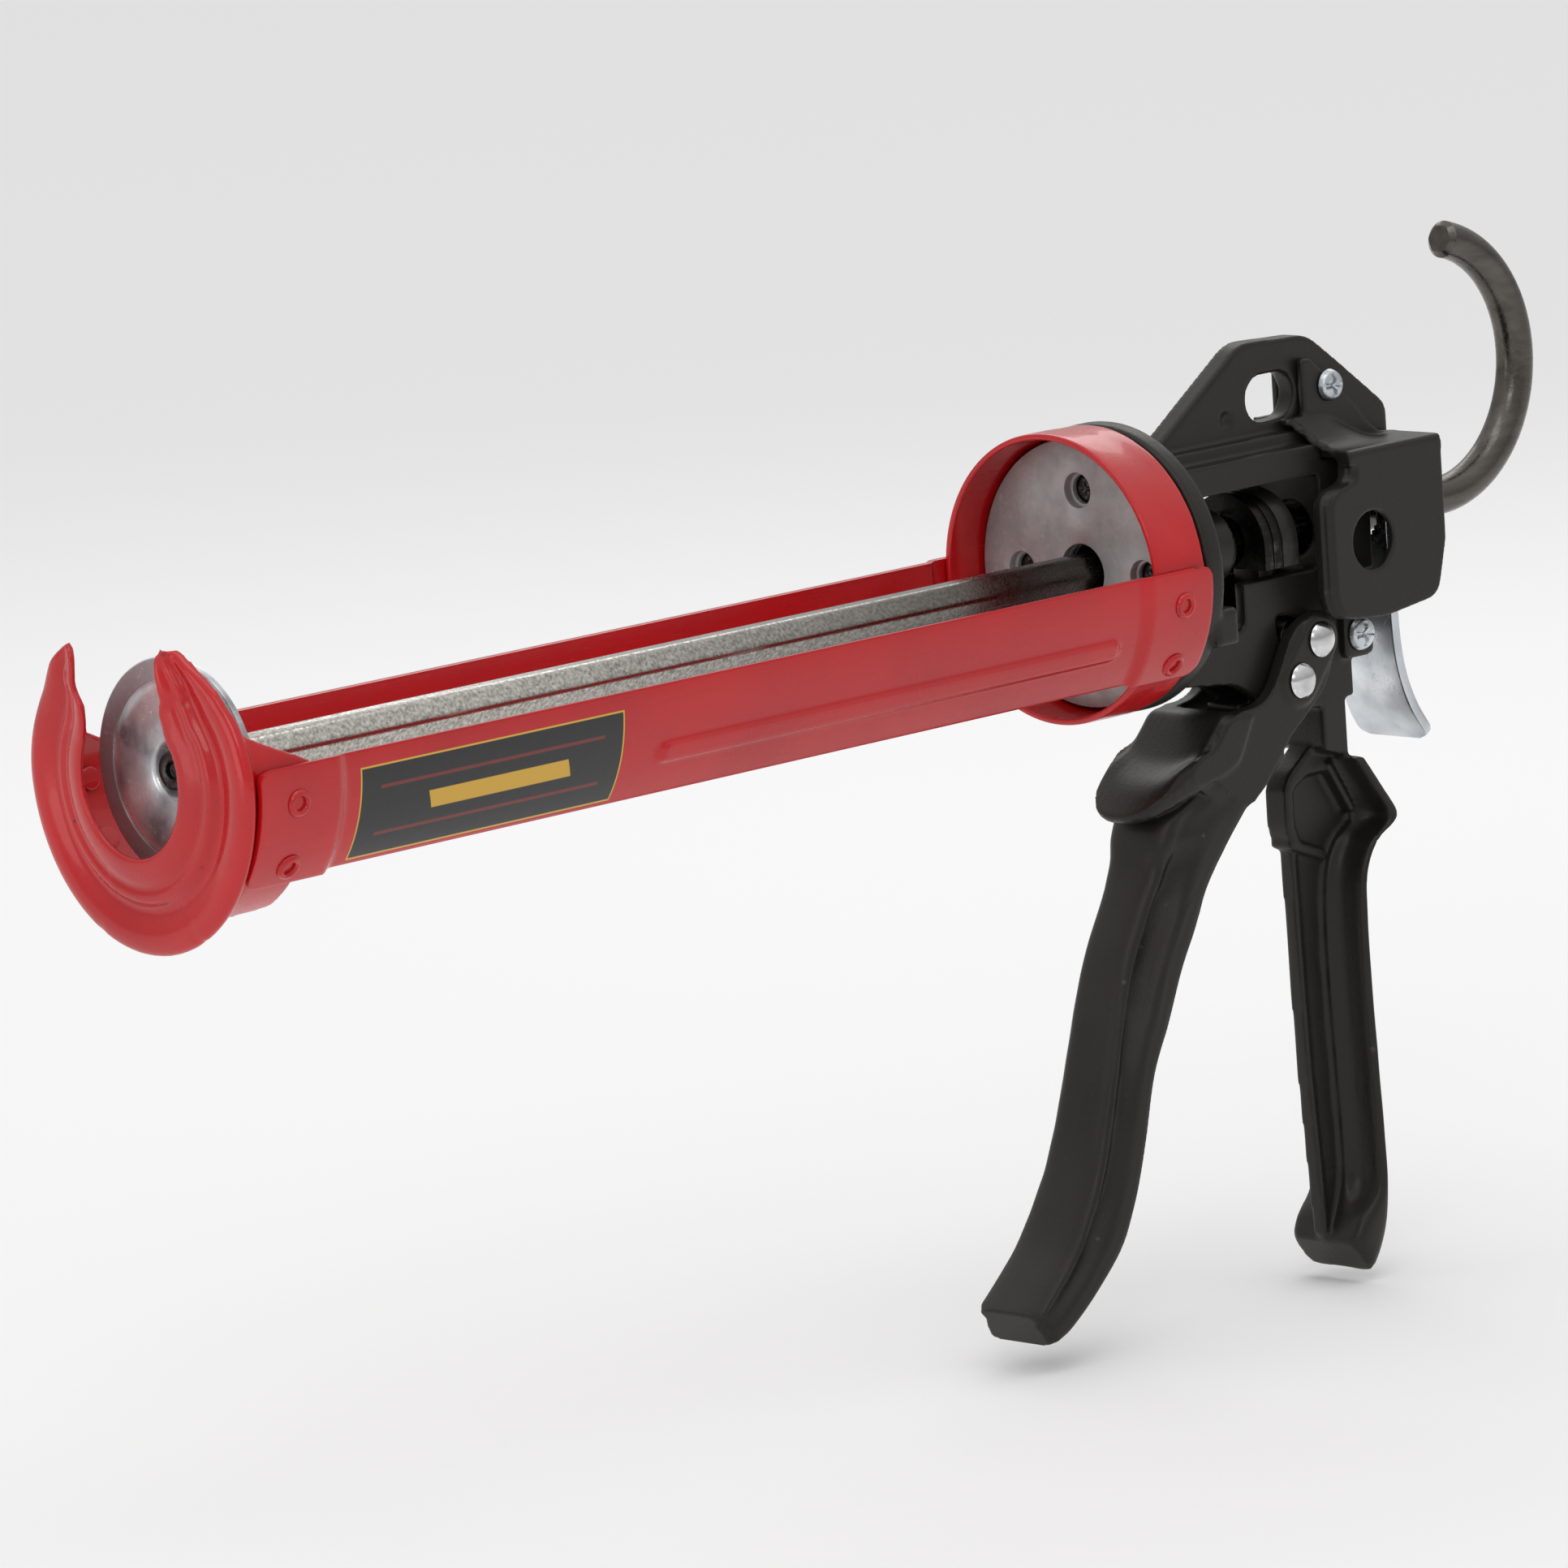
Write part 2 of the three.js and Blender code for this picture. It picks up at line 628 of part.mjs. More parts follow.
// --- Trigger ------------------------------------------------------------------------------
function triggerGrip() {
  const grip = new THREE.Shape();
  const curve = points => points.map(p => new THREE.Vector2(...p));
  grip.moveTo(-37.5, -135);
  grip.splineThru(curve([[-27, -124.5], [-18, -110], [-11, -87.5], [-5.5, -71.5], [4.3, -57.5], [6, -50]]));
  grip.lineTo(12, -44);
  grip.lineTo(31, -45);
  grip.splineThru(curve([
    [15.3, -64], [6.7, -77.3], [-2.6, -95.8], [-8.3, -116], [-14, -126.5], [-25, -136], [-34.5, -141],
  ]));
  grip.closePath();
  return grip;
}

function trigger() {
  const head = outline([
    [-0.6, -47, 2], [4.4, -42, 4], [12.3, -38.3, 3], [15.6, -35.3, 2], [22, -30.5, 4], [33, -30, 6],
    [41, -16, 6],
    [50.5, -13.5, 5], [54, -19.5, 4], [49, -29, 3], [43.5, -33.5, 3], [38.5, -37, 2], [30.5, -46, 2],
    [24, -52, 3], [8, -49.8, 3], [0.8, -48.6, 1.5],
  ]);
  const tongueEnd = outline([
    [-triggerHalf, -36], [-triggerHalf, -38, 3], [-9, -42.6, 4], [-5.5, -47.2, 3], [0, -49.4, 5],
    [5.5, -47.2, 3], [9, -42.6, 4], [triggerHalf, -38, 3], [triggerHalf, -36],
  ]);
  const corners = cut(block(-3, 13, -triggerHalf - overshoot, triggerHalf + overshoot, -54, -36.5),
    alongX(tongueEnd, -4, 14));
  const grip = triggerGrip();
  const rounded = new THREE.ExtrudeGeometry(grip, {
    depth: 2 * gripHalf - 5, curveSegments: 4, bevelEnabled: true, bevelSize: 1.6, bevelOffset: -1.6,
    bevelThickness: 2.5, bevelSegments: 1,
  });
  const pads = solid(rounded.rotateX(Math.PI / 2).translate(0, gripHalf - 2.5, 0));
  const fork = alongY(outline([
    [14, -20], [19, -33.5], [33, -36, 4], [38, -39.5, 5], [60, -39.5], [60, 0], [14, 0],
  ]), -armInner, armInner);
  return cut(join(cut(alongY(head, -triggerHalf, triggerHalf), corners), pads), fork,
    roundY(pinBore, -triggerHalf - overshoot, triggerHalf + overshoot, pivot.x, pivot.z),
    roundY(pinBore, -triggerHalf - overshoot, triggerHalf + overshoot, upper.x, upper.z));
}

function armRivet(place) {
  const seat = triggerHalf + gap;
  const head = fastener(3.5, 1.6, pinRadius, seat);
  return join(head.translate([-seat, 0, 0]), head.mirror([1, 0, 0]).translate([seat, 0, 0]))
    .rotate([0, 0, 90]).translate([place.x, 0, place.z]);
}

function driveSleeve() {
  const end = channelHalf - gap;
  return turned([[-end, pinBore], [-end, sleeveRadius], [end, sleeveRadius], [end, pinBore]], 20)
    .rotate([0, 0, 90]).translate([upper.x, 0, upper.z]);
}

// --- Friction drive and release -----------------------------------------------------------
function archOutline(half, top, bottom) {
  const arch = new THREE.Shape();
  arch.moveTo(-half, bottom);
  arch.lineTo(half, bottom);
  arch.lineTo(half, top - half);
  arch.absarc(0, top - half, half, 0, Math.PI, false);
  arch.closePath();
  return arch;
}

function driveBlock() {
  const front = blockRear - blockThick;
  const body = join(
    alongX(archOutline(blockHalf, blockTop, blockBottom), front, blockRear, 14),
    block(front, blockRear, -legHalf, legHalf, legBottom, blockBottom + overshoot));
  return cut(body, roundX(rodBore, front - overshoot, blockRear + overshoot));
}

function gripPlate(number) {
  const front = stackFront + number * (gripPlateThick + gap);
  const plate = alongX(archOutline(blockHalf, blockTop, blockBottom), front, front + gripPlateThick, 14);
  return cut(plate, roundX(rodBore, front - overshoot, front + gripPlateThick + overshoot));
}

function releaseLever() {
  const rear = leverFront + leverSheet;
  const blade = new THREE.Shape();
  blade.moveTo(leverFront, leverTop);
  blade.lineTo(leverFront, -22);
  blade.splineThru([[71, -30.5], [77.6, -45]].map(p => new THREE.Vector2(...p)));
  blade.lineTo(79.8, -43.8);
  blade.splineThru([[73.2, -30], [rear, -22]].map(p => new THREE.Vector2(...p)));
  blade.lineTo(rear, leverTop);
  blade.closePath();
  const face = outline([
    [-leverHalf + 1, leverTop], [leverHalf - 1, leverTop], [leverHalf, -20, 8], [leverHalf + 1, -46, 6],
    [-leverHalf - 1, -46, 6], [-leverHalf, -20, 8],
  ]);
  const hole = roundX(rodBore + 0.4, leverFront - overshoot, rear + overshoot);
  const wide = alongY(blade, -leverHalf - 2, leverHalf + 2, 5);
  return cut(wide.intersect(alongX(face, leverFront - 2, leverFront + 14)), hole);
}

function buildRear() {
  const group = new THREE.Group();
  const add = (name, body, finish) => group.add(meshOf(name, body, finish));
  add('frame_casting', frameCasting(), 'blackCoat');
  add('front_plate', frontPlate(), 'bareCasting');
  plateScrewAngles.forEach((angle, i) => add(`plate_screw_${i + 1}`, plateScrew(angle), 'zincPlate'));
  add('cover_left', cover(-1), 'blackCoat');
  add('cover_right', cover(1), 'blackCoat');
  add('cover_screw_left', coverScrewPiece(-1), 'zincPlate');
  add('cover_screw_right', coverScrewPiece(1), 'zincPlate');
  const lugBolt = fastener(3, 1.5, 1.8, 2 * lugHalf + 3.6).rotate([0, 0, 90])
    .translate([lugScrew.x, -lugHalf - gap, lugScrew.z]);
  add('lug_screw', lugBolt, 'zincPlate');
  add('lug_nut', lugNut(), 'zincPlate');
  add('trigger', trigger(), 'blackCoat');
  add('pivot_rivet', armRivet(pivot), 'zincPlate');
  add('drive_rivet', armRivet(upper), 'zincPlate');
  add('drive_sleeve', driveSleeve(), 'springSteel');
  add('drive_block', driveBlock(), 'blackCoat');
  for (let i = 0; i < gripPlates; i += 1) add(`grip_plate_${i + 1}`, gripPlate(i), 'springSteel');
  const driveSpring = coilSpring(springOuter - springWire / 2, springWire,
    springSeat + gap, stackFront - gap, 7);
  add('drive_spring', driveSpring, 'springSteel');
  add('release_lever', releaseLever(), 'zincPlate');
  const releaseSpring = coilSpring(springOuter - springWire / 2, springWire,
    wallRear + gap, leverFront - gap, 3);
  add('release_spring', releaseSpring, 'springSteel');
  group.position.x = flangeFront;
  return group;
}

const gun = new THREE.Group();
gun.add(buildCradle(), buildPlungerAndRod(), buildRear());

export default gun;
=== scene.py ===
import math

import bmesh
import bpy
from mathutils import Matrix, Vector, noise


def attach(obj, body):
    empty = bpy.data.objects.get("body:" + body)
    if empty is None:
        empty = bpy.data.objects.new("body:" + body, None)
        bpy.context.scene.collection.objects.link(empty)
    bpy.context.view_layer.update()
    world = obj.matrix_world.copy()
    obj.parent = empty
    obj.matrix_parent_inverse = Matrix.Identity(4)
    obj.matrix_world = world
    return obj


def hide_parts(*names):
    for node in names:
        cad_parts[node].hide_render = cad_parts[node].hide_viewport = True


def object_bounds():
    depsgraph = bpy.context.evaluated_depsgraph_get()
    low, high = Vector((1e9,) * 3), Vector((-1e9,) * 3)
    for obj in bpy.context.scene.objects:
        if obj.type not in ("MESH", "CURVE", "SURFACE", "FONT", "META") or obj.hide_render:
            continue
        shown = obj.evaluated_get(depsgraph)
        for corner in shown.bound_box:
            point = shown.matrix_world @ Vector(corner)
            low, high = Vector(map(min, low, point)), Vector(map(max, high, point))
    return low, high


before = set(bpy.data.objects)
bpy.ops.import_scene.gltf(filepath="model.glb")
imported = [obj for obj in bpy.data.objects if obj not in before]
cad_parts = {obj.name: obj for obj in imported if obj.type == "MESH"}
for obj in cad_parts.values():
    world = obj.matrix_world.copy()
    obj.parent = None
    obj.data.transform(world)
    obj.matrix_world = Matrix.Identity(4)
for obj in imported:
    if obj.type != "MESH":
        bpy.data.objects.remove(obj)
cad_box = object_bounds()
scene = bpy.context.scene
scene.view_settings.view_transform = "Standard"

# --- Camera -------------------------------------------------------------------------------
# A long lens ahead of the gun and to its left, a little above the rod and slightly rolled.
azimuth, elevation, roll = (math.radians(a) for a in (-44.11, 9.49, -3.96))
backward = Vector((math.sin(azimuth) * math.cos(elevation),
                   -math.cos(azimuth) * math.cos(elevation), math.sin(elevation)))
level = Vector((math.cos(azimuth), math.sin(azimuth), 0))
upward = backward.cross(level)
camera_right = level * math.cos(roll) + upward * math.sin(roll)
camera_up = upward * math.cos(roll) - level * math.sin(roll)
camera_data = bpy.data.cameras.new("camera")
camera_data.sensor_width = 36
camera_data.lens = 229.1
camera_data.clip_end = 20
camera = bpy.data.objects.new("camera", camera_data)
camera.matrix_world = Matrix.Translation((-1.0962, -1.2809, 0.2718)) @ Matrix(
    (camera_right, camera_up, backward)).transposed().to_4x4()
scene.collection.objects.link(camera)
scene.camera = camera

# --- Studio -------------------------------------------------------------------------------
# A plain pale floor under the handles, a white surround that dims low down, and soft lamps: one over
# the nozzle end, one from the left front, a long one behind and one straight ahead.
floor_half, floor_gap = 6, 0.0005
floor_mesh = bmesh.new()
bmesh.ops.create_grid(floor_mesh, x_segments=1, y_segments=1, size=floor_half)
bmesh.ops.translate(floor_mesh, verts=floor_mesh.verts, vec=(0, 0, cad_box[0].z - floor_gap))
floor_data = bpy.data.meshes.new("floor")
floor_mesh.to_mesh(floor_data)
floor_mesh.free()
floor_paint = bpy.data.materials.new("floor_paint")
floor_paint.use_nodes = True
floor_shader = floor_paint.node_tree.nodes["Principled BSDF"]
floor_shader.inputs["Base Color"].default_value = (0.92, 0.92, 0.92, 1)
floor_shader.inputs["Roughness"].default_value = 0.9
floor_data.materials.append(floor_paint)
floor = bpy.data.objects.new("floor", floor_data)
scene.collection.objects.link(floor)

surround = bpy.data.worlds.new("surround")
surround.use_nodes = True
scene.world = surround
sky = surround.node_tree
sky.nodes["Background"].inputs["Color"].default_value = (1, 1, 1, 1)
sky_height = sky.nodes.new("ShaderNodeSeparateXYZ")
sky.links.new(sky.nodes.new("ShaderNodeTexCoord").outputs["Generated"], sky_height.inputs[0])
sky_light = sky.nodes.new("ShaderNodeMapRange")
for socket, value in (("From Min", 0.0), ("From Max", 0.8), ("To Min", 0.42), ("To Max", 0.92)):
    sky_light.inputs[socket].default_value = value
sky.links.new(sky_height.outputs["Z"], sky_light.inputs["Value"])
sky.links.new(sky_light.outputs[0], sky.nodes["Background"].inputs["Strength"])
gun_middle = (0.17, 0, -0.03)


def lamp(name, place, power, width, height):
    """A soft rectangular lamp that looks at the middle of the gun."""
    data = bpy.data.lights.new(name, "AREA")
    data.shape = "RECTANGLE"
    data.size = width
    data.size_y = height
    data.energy = power
    made = bpy.data.objects.new(name, data)
    towards = Vector(gun_middle) - Vector(place)
    made.matrix_world = Matrix.Translation(place) @ towards.to_track_quat("-Z", "Y").to_matrix().to_4x4()
    scene.collection.objects.link(made)


lamp("lamp_above", (-0.1, -0.25, 1.1), 2.0, 1.0, 0.5)
lamp("lamp_left_front", (-0.9, -0.9, 0.75), 1.7, 0.5, 0.5)
lamp("lamp_behind", (0.9, 0.6, 0.6), 1.5, 0.9, 0.3)
lamp("lamp_front", (-1.3, 0.15, 0.12), 1.5, 0.7, 0.5)


# --- Front cap ----------------------------------------------------------------------------
# One pressed steel sheet in glossy red enamel: a rolled rim, ridges round the nozzle slot, two
# horns beside it, and a short skirt whose ears lie under the rails.
def flowing(points, count):
    """A smooth run of evenly spread points through the given ones."""
    knots = [Vector(p) for p in points]
    knots = [knots[0] * 2 - knots[1], *knots, knots[-1] * 2 - knots[-2]]
    fine = []
    for a, b, c, d in zip(knots, knots[1:], knots[2:], knots[3:]):
        for k in range(24):
            t = k / 24
            fine.append((b * 2 + (c - a) * t + (a * 2 - b * 5 + c * 4 - d) * t * t
                         + (b * 3 - a - c * 3 + d) * t ** 3) / 2)
    fine.append(knots[-2])
    lengths = [0]
    for p, q in zip(fine, fine[1:]):
        lengths.append(lengths[-1] + (q - p).length)
    run = []
    at = 0
    for k in range(count):
        goal = lengths[-1] * k / (count - 1)
        while at < len(fine) - 2 and lengths[at + 1] < goal:
            at += 1
        step = lengths[at + 1] - lengths[at]
        run.append(fine[at].lerp(fine[at + 1], min((goal - lengths[at]) / step, 1) if step else 0))
    return run


def pressed_sheet(along, across, place):
    """A flat grid bent into a pressing: place gives the point for two shares from 0 to 1."""
    sheet = bmesh.new()
    bmesh.ops.create_grid(sheet, x_segments=along, y_segments=across, size=1)
    for corner in sheet.verts:
        corner.co = place((corner.co.x + 1) / 2, (corner.co.y + 1) / 2)
    return sheet


def ease(value, low, high):
    """0 below low, 1 above high, smooth between them."""
    share = min(max((value - low) / (high - low), 0), 1)
    return share * share * (3 - 2 * share)


weld = 1e-4


def fit_piece(name, shape, body, paint, stands_for=(), crease=38):
    """Brings a shape from millimetres to metres, smooths its shading and puts it on its body."""
    bmesh.ops.remove_doubles(shape, verts=shape.verts, dist=weld)
    bmesh.ops.recalc_face_normals(shape, faces=shape.faces)
    bmesh.ops.scale(shape, vec=(0.001, 0.001, 0.001), verts=shape.verts)
    data = bpy.data.meshes.new(name)
    shape.to_mesh(data)
    shape.free()
    data.materials.append(paint)
    data.polygons.foreach_set("use_smooth", [True] * len(data.polygons))
    data.set_sharp_from_angle(angle=math.radians(crease))
    piece = bpy.data.objects.new(name, data)
    scene.collection.objects.link(piece)
    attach(piece, body)
    if stands_for:
        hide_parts(*stands_for)
    return piece


def thicken(piece, wall, edge, inside, even=True):
    """Gives a sheet its wall, from the modelled face towards a point, and rounds its cut edges."""
    faces = piece.data.polygons
    if sum(face.normal.dot(face.center - Vector(inside)) * face.area for face in faces) < 0:
        piece.data.flip_normals()
    solidify = piece.modifiers.new("wall", "SOLIDIFY")
    solidify.thickness = wall
    solidify.offset = -1
    solidify.use_even_offset = even
    if edge:
        rounding = piece.modifiers.new("cut_edges", "BEVEL")
        rounding.width = edge
        rounding.segments = 2
        rounding.limit_method = "ANGLE"
        rounding.angle_limit = math.radians(50)


def flow_together(piece, voxel, passes):
    """Joins overlapping shapes into one skin with small fillets and rounded edges."""
    skin = piece.modifiers.new("one_skin", "REMESH")
    skin.mode = "VOXEL"
    skin.voxel_size = voxel
    skin.use_smooth_shade = True
    melt = piece.modifiers.new("fillets", "SMOOTH")
    melt.factor = 0.5
    melt.iterations = passes


def new_group(name, inputs, outputs):
    """An empty shader node group with float inputs and float outputs."""
    group = bpy.data.node_groups.new(name, "ShaderNodeTree")
    for socket, value in inputs.items():
        made = group.interface.new_socket(socket, in_out="INPUT", socket_type="NodeSocketFloat")
        made.default_value = value
    for socket in outputs:
        group.interface.new_socket(socket, in_out="OUTPUT", socket_type="NodeSocketFloat")
    return group, group.nodes.new("NodeGroupInput"), group.nodes.new("NodeGroupOutput")


def node(tree, kind, sockets=None, **settings):
    """A shader node with its settings, and its sockets set to a value or wired to an output."""
    made = tree.nodes.new("ShaderNode" + kind)
    for key, value in settings.items():
        setattr(made, key, value)
    for socket, value in (sockets or {}).items():
        if isinstance(value, bpy.types.NodeSocket):
            tree.links.new(value, made.inputs[socket])
        else:
            made.inputs[socket].default_value = value
    return made


def surface_wear_group():
    """Patches, fine grain, rubbed edges and hair scratches, as masks from 0 to 1."""
    group, given, out = new_group(
        "surface_wear", {"Patch Scale": 60, "Grain Scale": 1500, "Edge Reach": 0.53, "Scratch Amount": 0.5},
        ["Patches", "Grain", "Rubbed", "Scratches"])
    place = node(group, "TexCoord").outputs["Object"]
    patches = node(group, "TexNoise", {"Vector": place, "Scale": given.outputs["Patch Scale"], "Detail": 5})
    grain = node(group, "TexNoise", {"Vector": place, "Scale": given.outputs["Grain Scale"], "Detail": 2})
    clear = node(group, "MapRange", {"Value": patches.outputs["Fac"], "From Min": 0.3, "From Max": 0.7})
    edge = node(group, "MapRange", {
        "Value": node(group, "NewGeometry").outputs["Pointiness"],
        "From Min": given.outputs["Edge Reach"], "From Max": 0.62})
    chips = node(group, "TexNoise", {"Vector": place, "Scale": 400, "Detail": 4})
    chip_mask = node(group, "MapRange", {"Value": chips.outputs["Fac"], "From Min": 0.48, "From Max": 0.62})
    rubbed = node(group, "Math", {0: edge.outputs[0], 1: chip_mask.outputs[0]}, operation="MULTIPLY")
    long_way = node(group, "Mapping", {"Vector": place, "Rotation": (0.3, 0.5, 0.2), "Scale": (14, 320, 320)})
    hairs = node(group, "TexNoise", {"Vector": long_way.outputs[0], "Scale": 4, "Detail": 3})
    hair_mask = node(group, "MapRange", {"Value": hairs.outputs["Fac"], "From Min": 0.6, "From Max": 0.74})
    scratches = node(group, "Math", {
        0: hair_mask.outputs[0], 1: given.outputs["Scratch Amount"]}, operation="MULTIPLY")
    masks = {"Patches": clear, "Grain": grain, "Rubbed": rubbed, "Scratches": scratches}
    for socket, source in masks.items():
        group.links.new(source.outputs[0], out.inputs[socket])
    return group


surface_wear = surface_wear_group()


def blended(tree, share, first, second):
    """A colour between two, by a mask; either may be wired or plain."""
    return node(tree, "Mix", {0: share, 6: first, 7: second}, data_type="RGBA").outputs[2]


def surface(name, base, patch, rubbed, roughness, metallic, bump, wear, **plain):
    """A finish: its base colour drifts to the patch colour, its edges show the rubbed colour, and
    its roughness follows the patches and scratches. wear holds the inputs of surface_wear."""
    made = bpy.data.materials.new(name)
    made.use_nodes = True
    tree = made.node_tree
    shader = tree.nodes["Principled BSDF"]
    masks = node(tree, "Group", node_tree=surface_wear)
    for socket, value in zip(masks.inputs, wear):
        socket.default_value = value
    ground = blended(tree, masks.outputs["Patches"], (*base, 1), (*patch, 1))
    scratched = blended(tree, masks.outputs["Scratches"], ground, (*rubbed, 1))
    colour = blended(tree, masks.outputs["Rubbed"], scratched, (*rubbed, 1))
    tree.links.new(colour, shader.inputs["Base Color"])
    smooth, rough = roughness
    polish = node(tree, "MapRange", {
        "Value": masks.outputs["Patches"], "To Min": smooth, "To Max": rough})
    worn = node(tree, "Math", {0: polish.outputs[0], 1: masks.outputs["Scratches"]}, operation="ADD")
    worn.use_clamp = True
    tree.links.new(worn.outputs[0], shader.inputs["Roughness"])
    relief = node(tree, "Bump", {
        "Strength": bump[0], "Distance": bump[1], "Height": masks.outputs["Grain"]})
    tree.links.new(relief.outputs["Normal"], shader.inputs["Normal"])
    shader.inputs["Metallic"].default_value = metallic
    for socket, value in plain.items():
        shader.inputs[socket.replace("_", " ")].default_value = value
    return made


red_enamel = surface(
    "red_enamel", (0.53, 0.007, 0.010), (0.42, 0.005, 0.008), (0.12, 0.02, 0.018), (0.2, 0.3), 0,
    (0.25, 0.0002), (35, 420, 0.57, 0.1),
    Coat_Weight=0.35, Coat_Roughness=0.06, Specular_IOR_Level=0.35)

rim_radius = 31
slot_radius = 13.6
horn_start, horn_end = math.radians(118), math.radians(156)
pressing = [
    (-9.6, 13.6), (-9.5, 15.4), (-8.9, 17.6), (-8.2, 19.0), (-8.5, 20.3), (-8.2, 21.4), (-7.2, 22.3),
    (-6.9, 23.4), (-7.4, 25.0), (-7.9, 27.0), (-7.9, 29.0), (-7.3, 30.5), (-6.3, 31.0), (-5.3, 30.4),
    (-4.6, 29.0), (-3.6, 27.8), (-2.0, 27.4), (4.0, 27.4), (8.5, 27.4),
]
cap_run = flowing(pressing, 90)
rim_share = next(k for k, p in enumerate(cap_run) if p.x > -6.8 and p.y > 30) / 89
sheet_wall = 0.0012


def skirt_end(turn):
    """Share of the pressing that is left at an angle up from the bottom."""
    degrees = math.degrees(turn)
    lobes = ease(degrees, 24, 30)
    ear = ease(degrees, 95, 118)
    full = 0.66 + 0.34 * lobes
    return full + (rim_share + 0.02 - full) * ear ** 0.6


horn_inner = flowing([
    (12.01, 6.39), (11.3, 8.4), (10.9, 10.4), (10.6, 12.4), (11.4, 14.8), (11.1, 17.4), (10.8, 19.8),
    (10.8, 21.6), (11.3, 23.3), (12.6, 24.5)], 120)
horn_outer = flowing([
    (25.66, 13.64), (23.6, 16.6), (21.2, 19.2), (18.9, 21.4), (16.8, 23.2), (15.4, 24.3), (14.2, 24.8)], 120)
cap_narrowing, horn_lowering, horn_lean = 0.08, 0.14, 1.6
far_horn_out, far_horn_down = 1.4, 0.5


def cap_place(round_share, out_share):
    """A point of the pressing: rings round the slot, and above them rows that close at a horn's tip."""
    turn = (2 * round_share - 1) * horn_end
    around = abs(turn)
    kept = out_share * skirt_end(around)
    low = cap_run[int(kept * 89)]
    x, radius = low.lerp(cap_run[min(int(kept * 89) + 1, 89)], kept * 89 - int(kept * 89))
    share = (radius - slot_radius) / (rim_radius - slot_radius)
    rise = max((around - horn_start) / (horn_end - horn_start), 0)
    if rise == 0:
        past_rim = radius > 27.3 and kept > rim_share
        reach = radius - 4.6 * ease(around, 1.5, 2.75) * (1 if past_rim else share)
        way = Vector((math.sin(around), -math.cos(around))) * reach
    else:
        at = (1 - (1 - rise) ** 1.35) * 119
        row = min(int(at), 118)
        inner = horn_inner[row].lerp(horn_inner[row + 1], at - row)
        way = inner.lerp(horn_outer[row].lerp(horn_outer[row + 1], at - row), share)
    way.x *= 1 - cap_narrowing * (1 - ease(x, -5.2, -2.4))
    way.y -= horn_lowering * max(way.y - horn_outer[0].y, 0)
    x += ease(rise, 0.45, 1) * (3.2 * out_share ** 1.6 - 8.9 - x)
    if turn > 0:
        way += Vector((far_horn_out * ease(rise, 0, 0.5), -far_horn_down * rise ** 2))
    return Vector((x - horn_lean * ease(around, 1.9, 2.7), math.copysign(way.x, turn), way.y))


front_cap = fit_piece("front_cap_pressing", pressed_sheet(260, 64, cap_place), "cradle", red_enamel,
                      ["front_cap"])
thicken(front_cap, sheet_wall, 0, (0.012, 0, 0), even=False)
flow_together(front_cap, 0.00036, 7)

# --- Rails --------------------------------------------------------------------------------
# Two curved steel strips, joggled at both ends to lap over the cap's ears and the collar, with
# one long pressed rib each. A plain black film with a yellow border is stuck on the outside.
rail_tab_radius = 28.9
rail_radius = 27.75
rail_bottom, rail_top = -18.5, 2.6
rail_start, rail_end = -4.8, 231.2
rib_start, rib_end, rib_height, rib_half, rib_raise = 92, 206, -10.3, 2.3, 0.95
rail_corner = 2.4


def rail_place(side):
    def place(along, up):
        x = rail_start + along * (rail_end - rail_start)
        z = rail_bottom + up * (rail_top - rail_bottom)
        near = min(z - rail_bottom, rail_top - z)
        if near < rail_corner:
            inset = rail_corner - math.sqrt(max(rail_corner ** 2 - (rail_corner - near) ** 2, 0))
            x += inset * (1 - ease(along, 0, 0.03)) - inset * ease(along, 0.97, 1)
        radius = rail_radius + (rail_tab_radius - rail_radius) * (
            1 - ease(x, 13.2, 15.6) + ease(x, 213, 215.4))
        nearest = min(max(x, rib_start), rib_end)
        off = math.hypot(x - nearest, z - rib_height)
        radius += rib_raise * (1 - ease(off, 1.2, rib_half))
        angle = math.asin(z / rail_tab_radius)
        return Vector((x, side * radius * math.cos(angle), radius * math.sin(angle)))
    return place


rail_enamel = red_enamel.copy()
rail_enamel.name = "rail_enamel"
rail_tree = rail_enamel.node_tree
rail_shader = rail_tree.nodes["Principled BSDF"]
spot = node(rail_tree, "SeparateXYZ", {"Vector": node(rail_tree, "TexCoord").outputs["Object"]})
spoke = node(rail_tree, "CombineXYZ", {"Y": spot.outputs["Y"], "Z": spot.outputs["Z"]})
from_axis = node(rail_tree, "VectorMath", {0: spoke.outputs[0]}, operation="LENGTH")


def worked(operation, *values):
    """The output of a math node on up to three values or outputs."""
    return node(rail_tree, "Math", dict(enumerate(values)), operation=operation).outputs[0]


def below(value, limit, blur=0.00008):
    """A mask that is 1 where value is under limit."""
    mask = node(rail_tree, "MapRange", {
        "Value": value, "From Min": limit - blur, "From Max": limit + blur, "To Min": 1, "To Max": 0})
    return mask.outputs[0]


film_x, film_z, film_half_x, film_half_z, border = 0.050, -0.0088, 0.0312, 0.0082, 0.0003
along_film = worked("SUBTRACT", spot.outputs["X"], film_x)
up_film = worked("SUBTRACT", spot.outputs["Z"], film_z)
half_x, half_z = worked("ABSOLUTE", along_film), worked("ABSOLUTE", up_film)
outside = worked("SUBTRACT", 1, below(from_axis.outputs["Value"], 0.0272))
on_film = worked("MULTIPLY", below(half_x, film_half_x), below(half_z, film_half_z))
film = worked("MULTIPLY", on_film, outside)
inner_field = worked("MULTIPLY", below(half_x, film_half_x - border), below(half_z, film_half_z - border))
slant = worked("MULTIPLY_ADD", up_film, 0.35, along_film)
bar_half = worked("ABSOLUTE", worked("SUBTRACT", slant, 0.002))
bar = worked("MULTIPLY", below(bar_half, 0.0165), below(half_z, 0.0016))
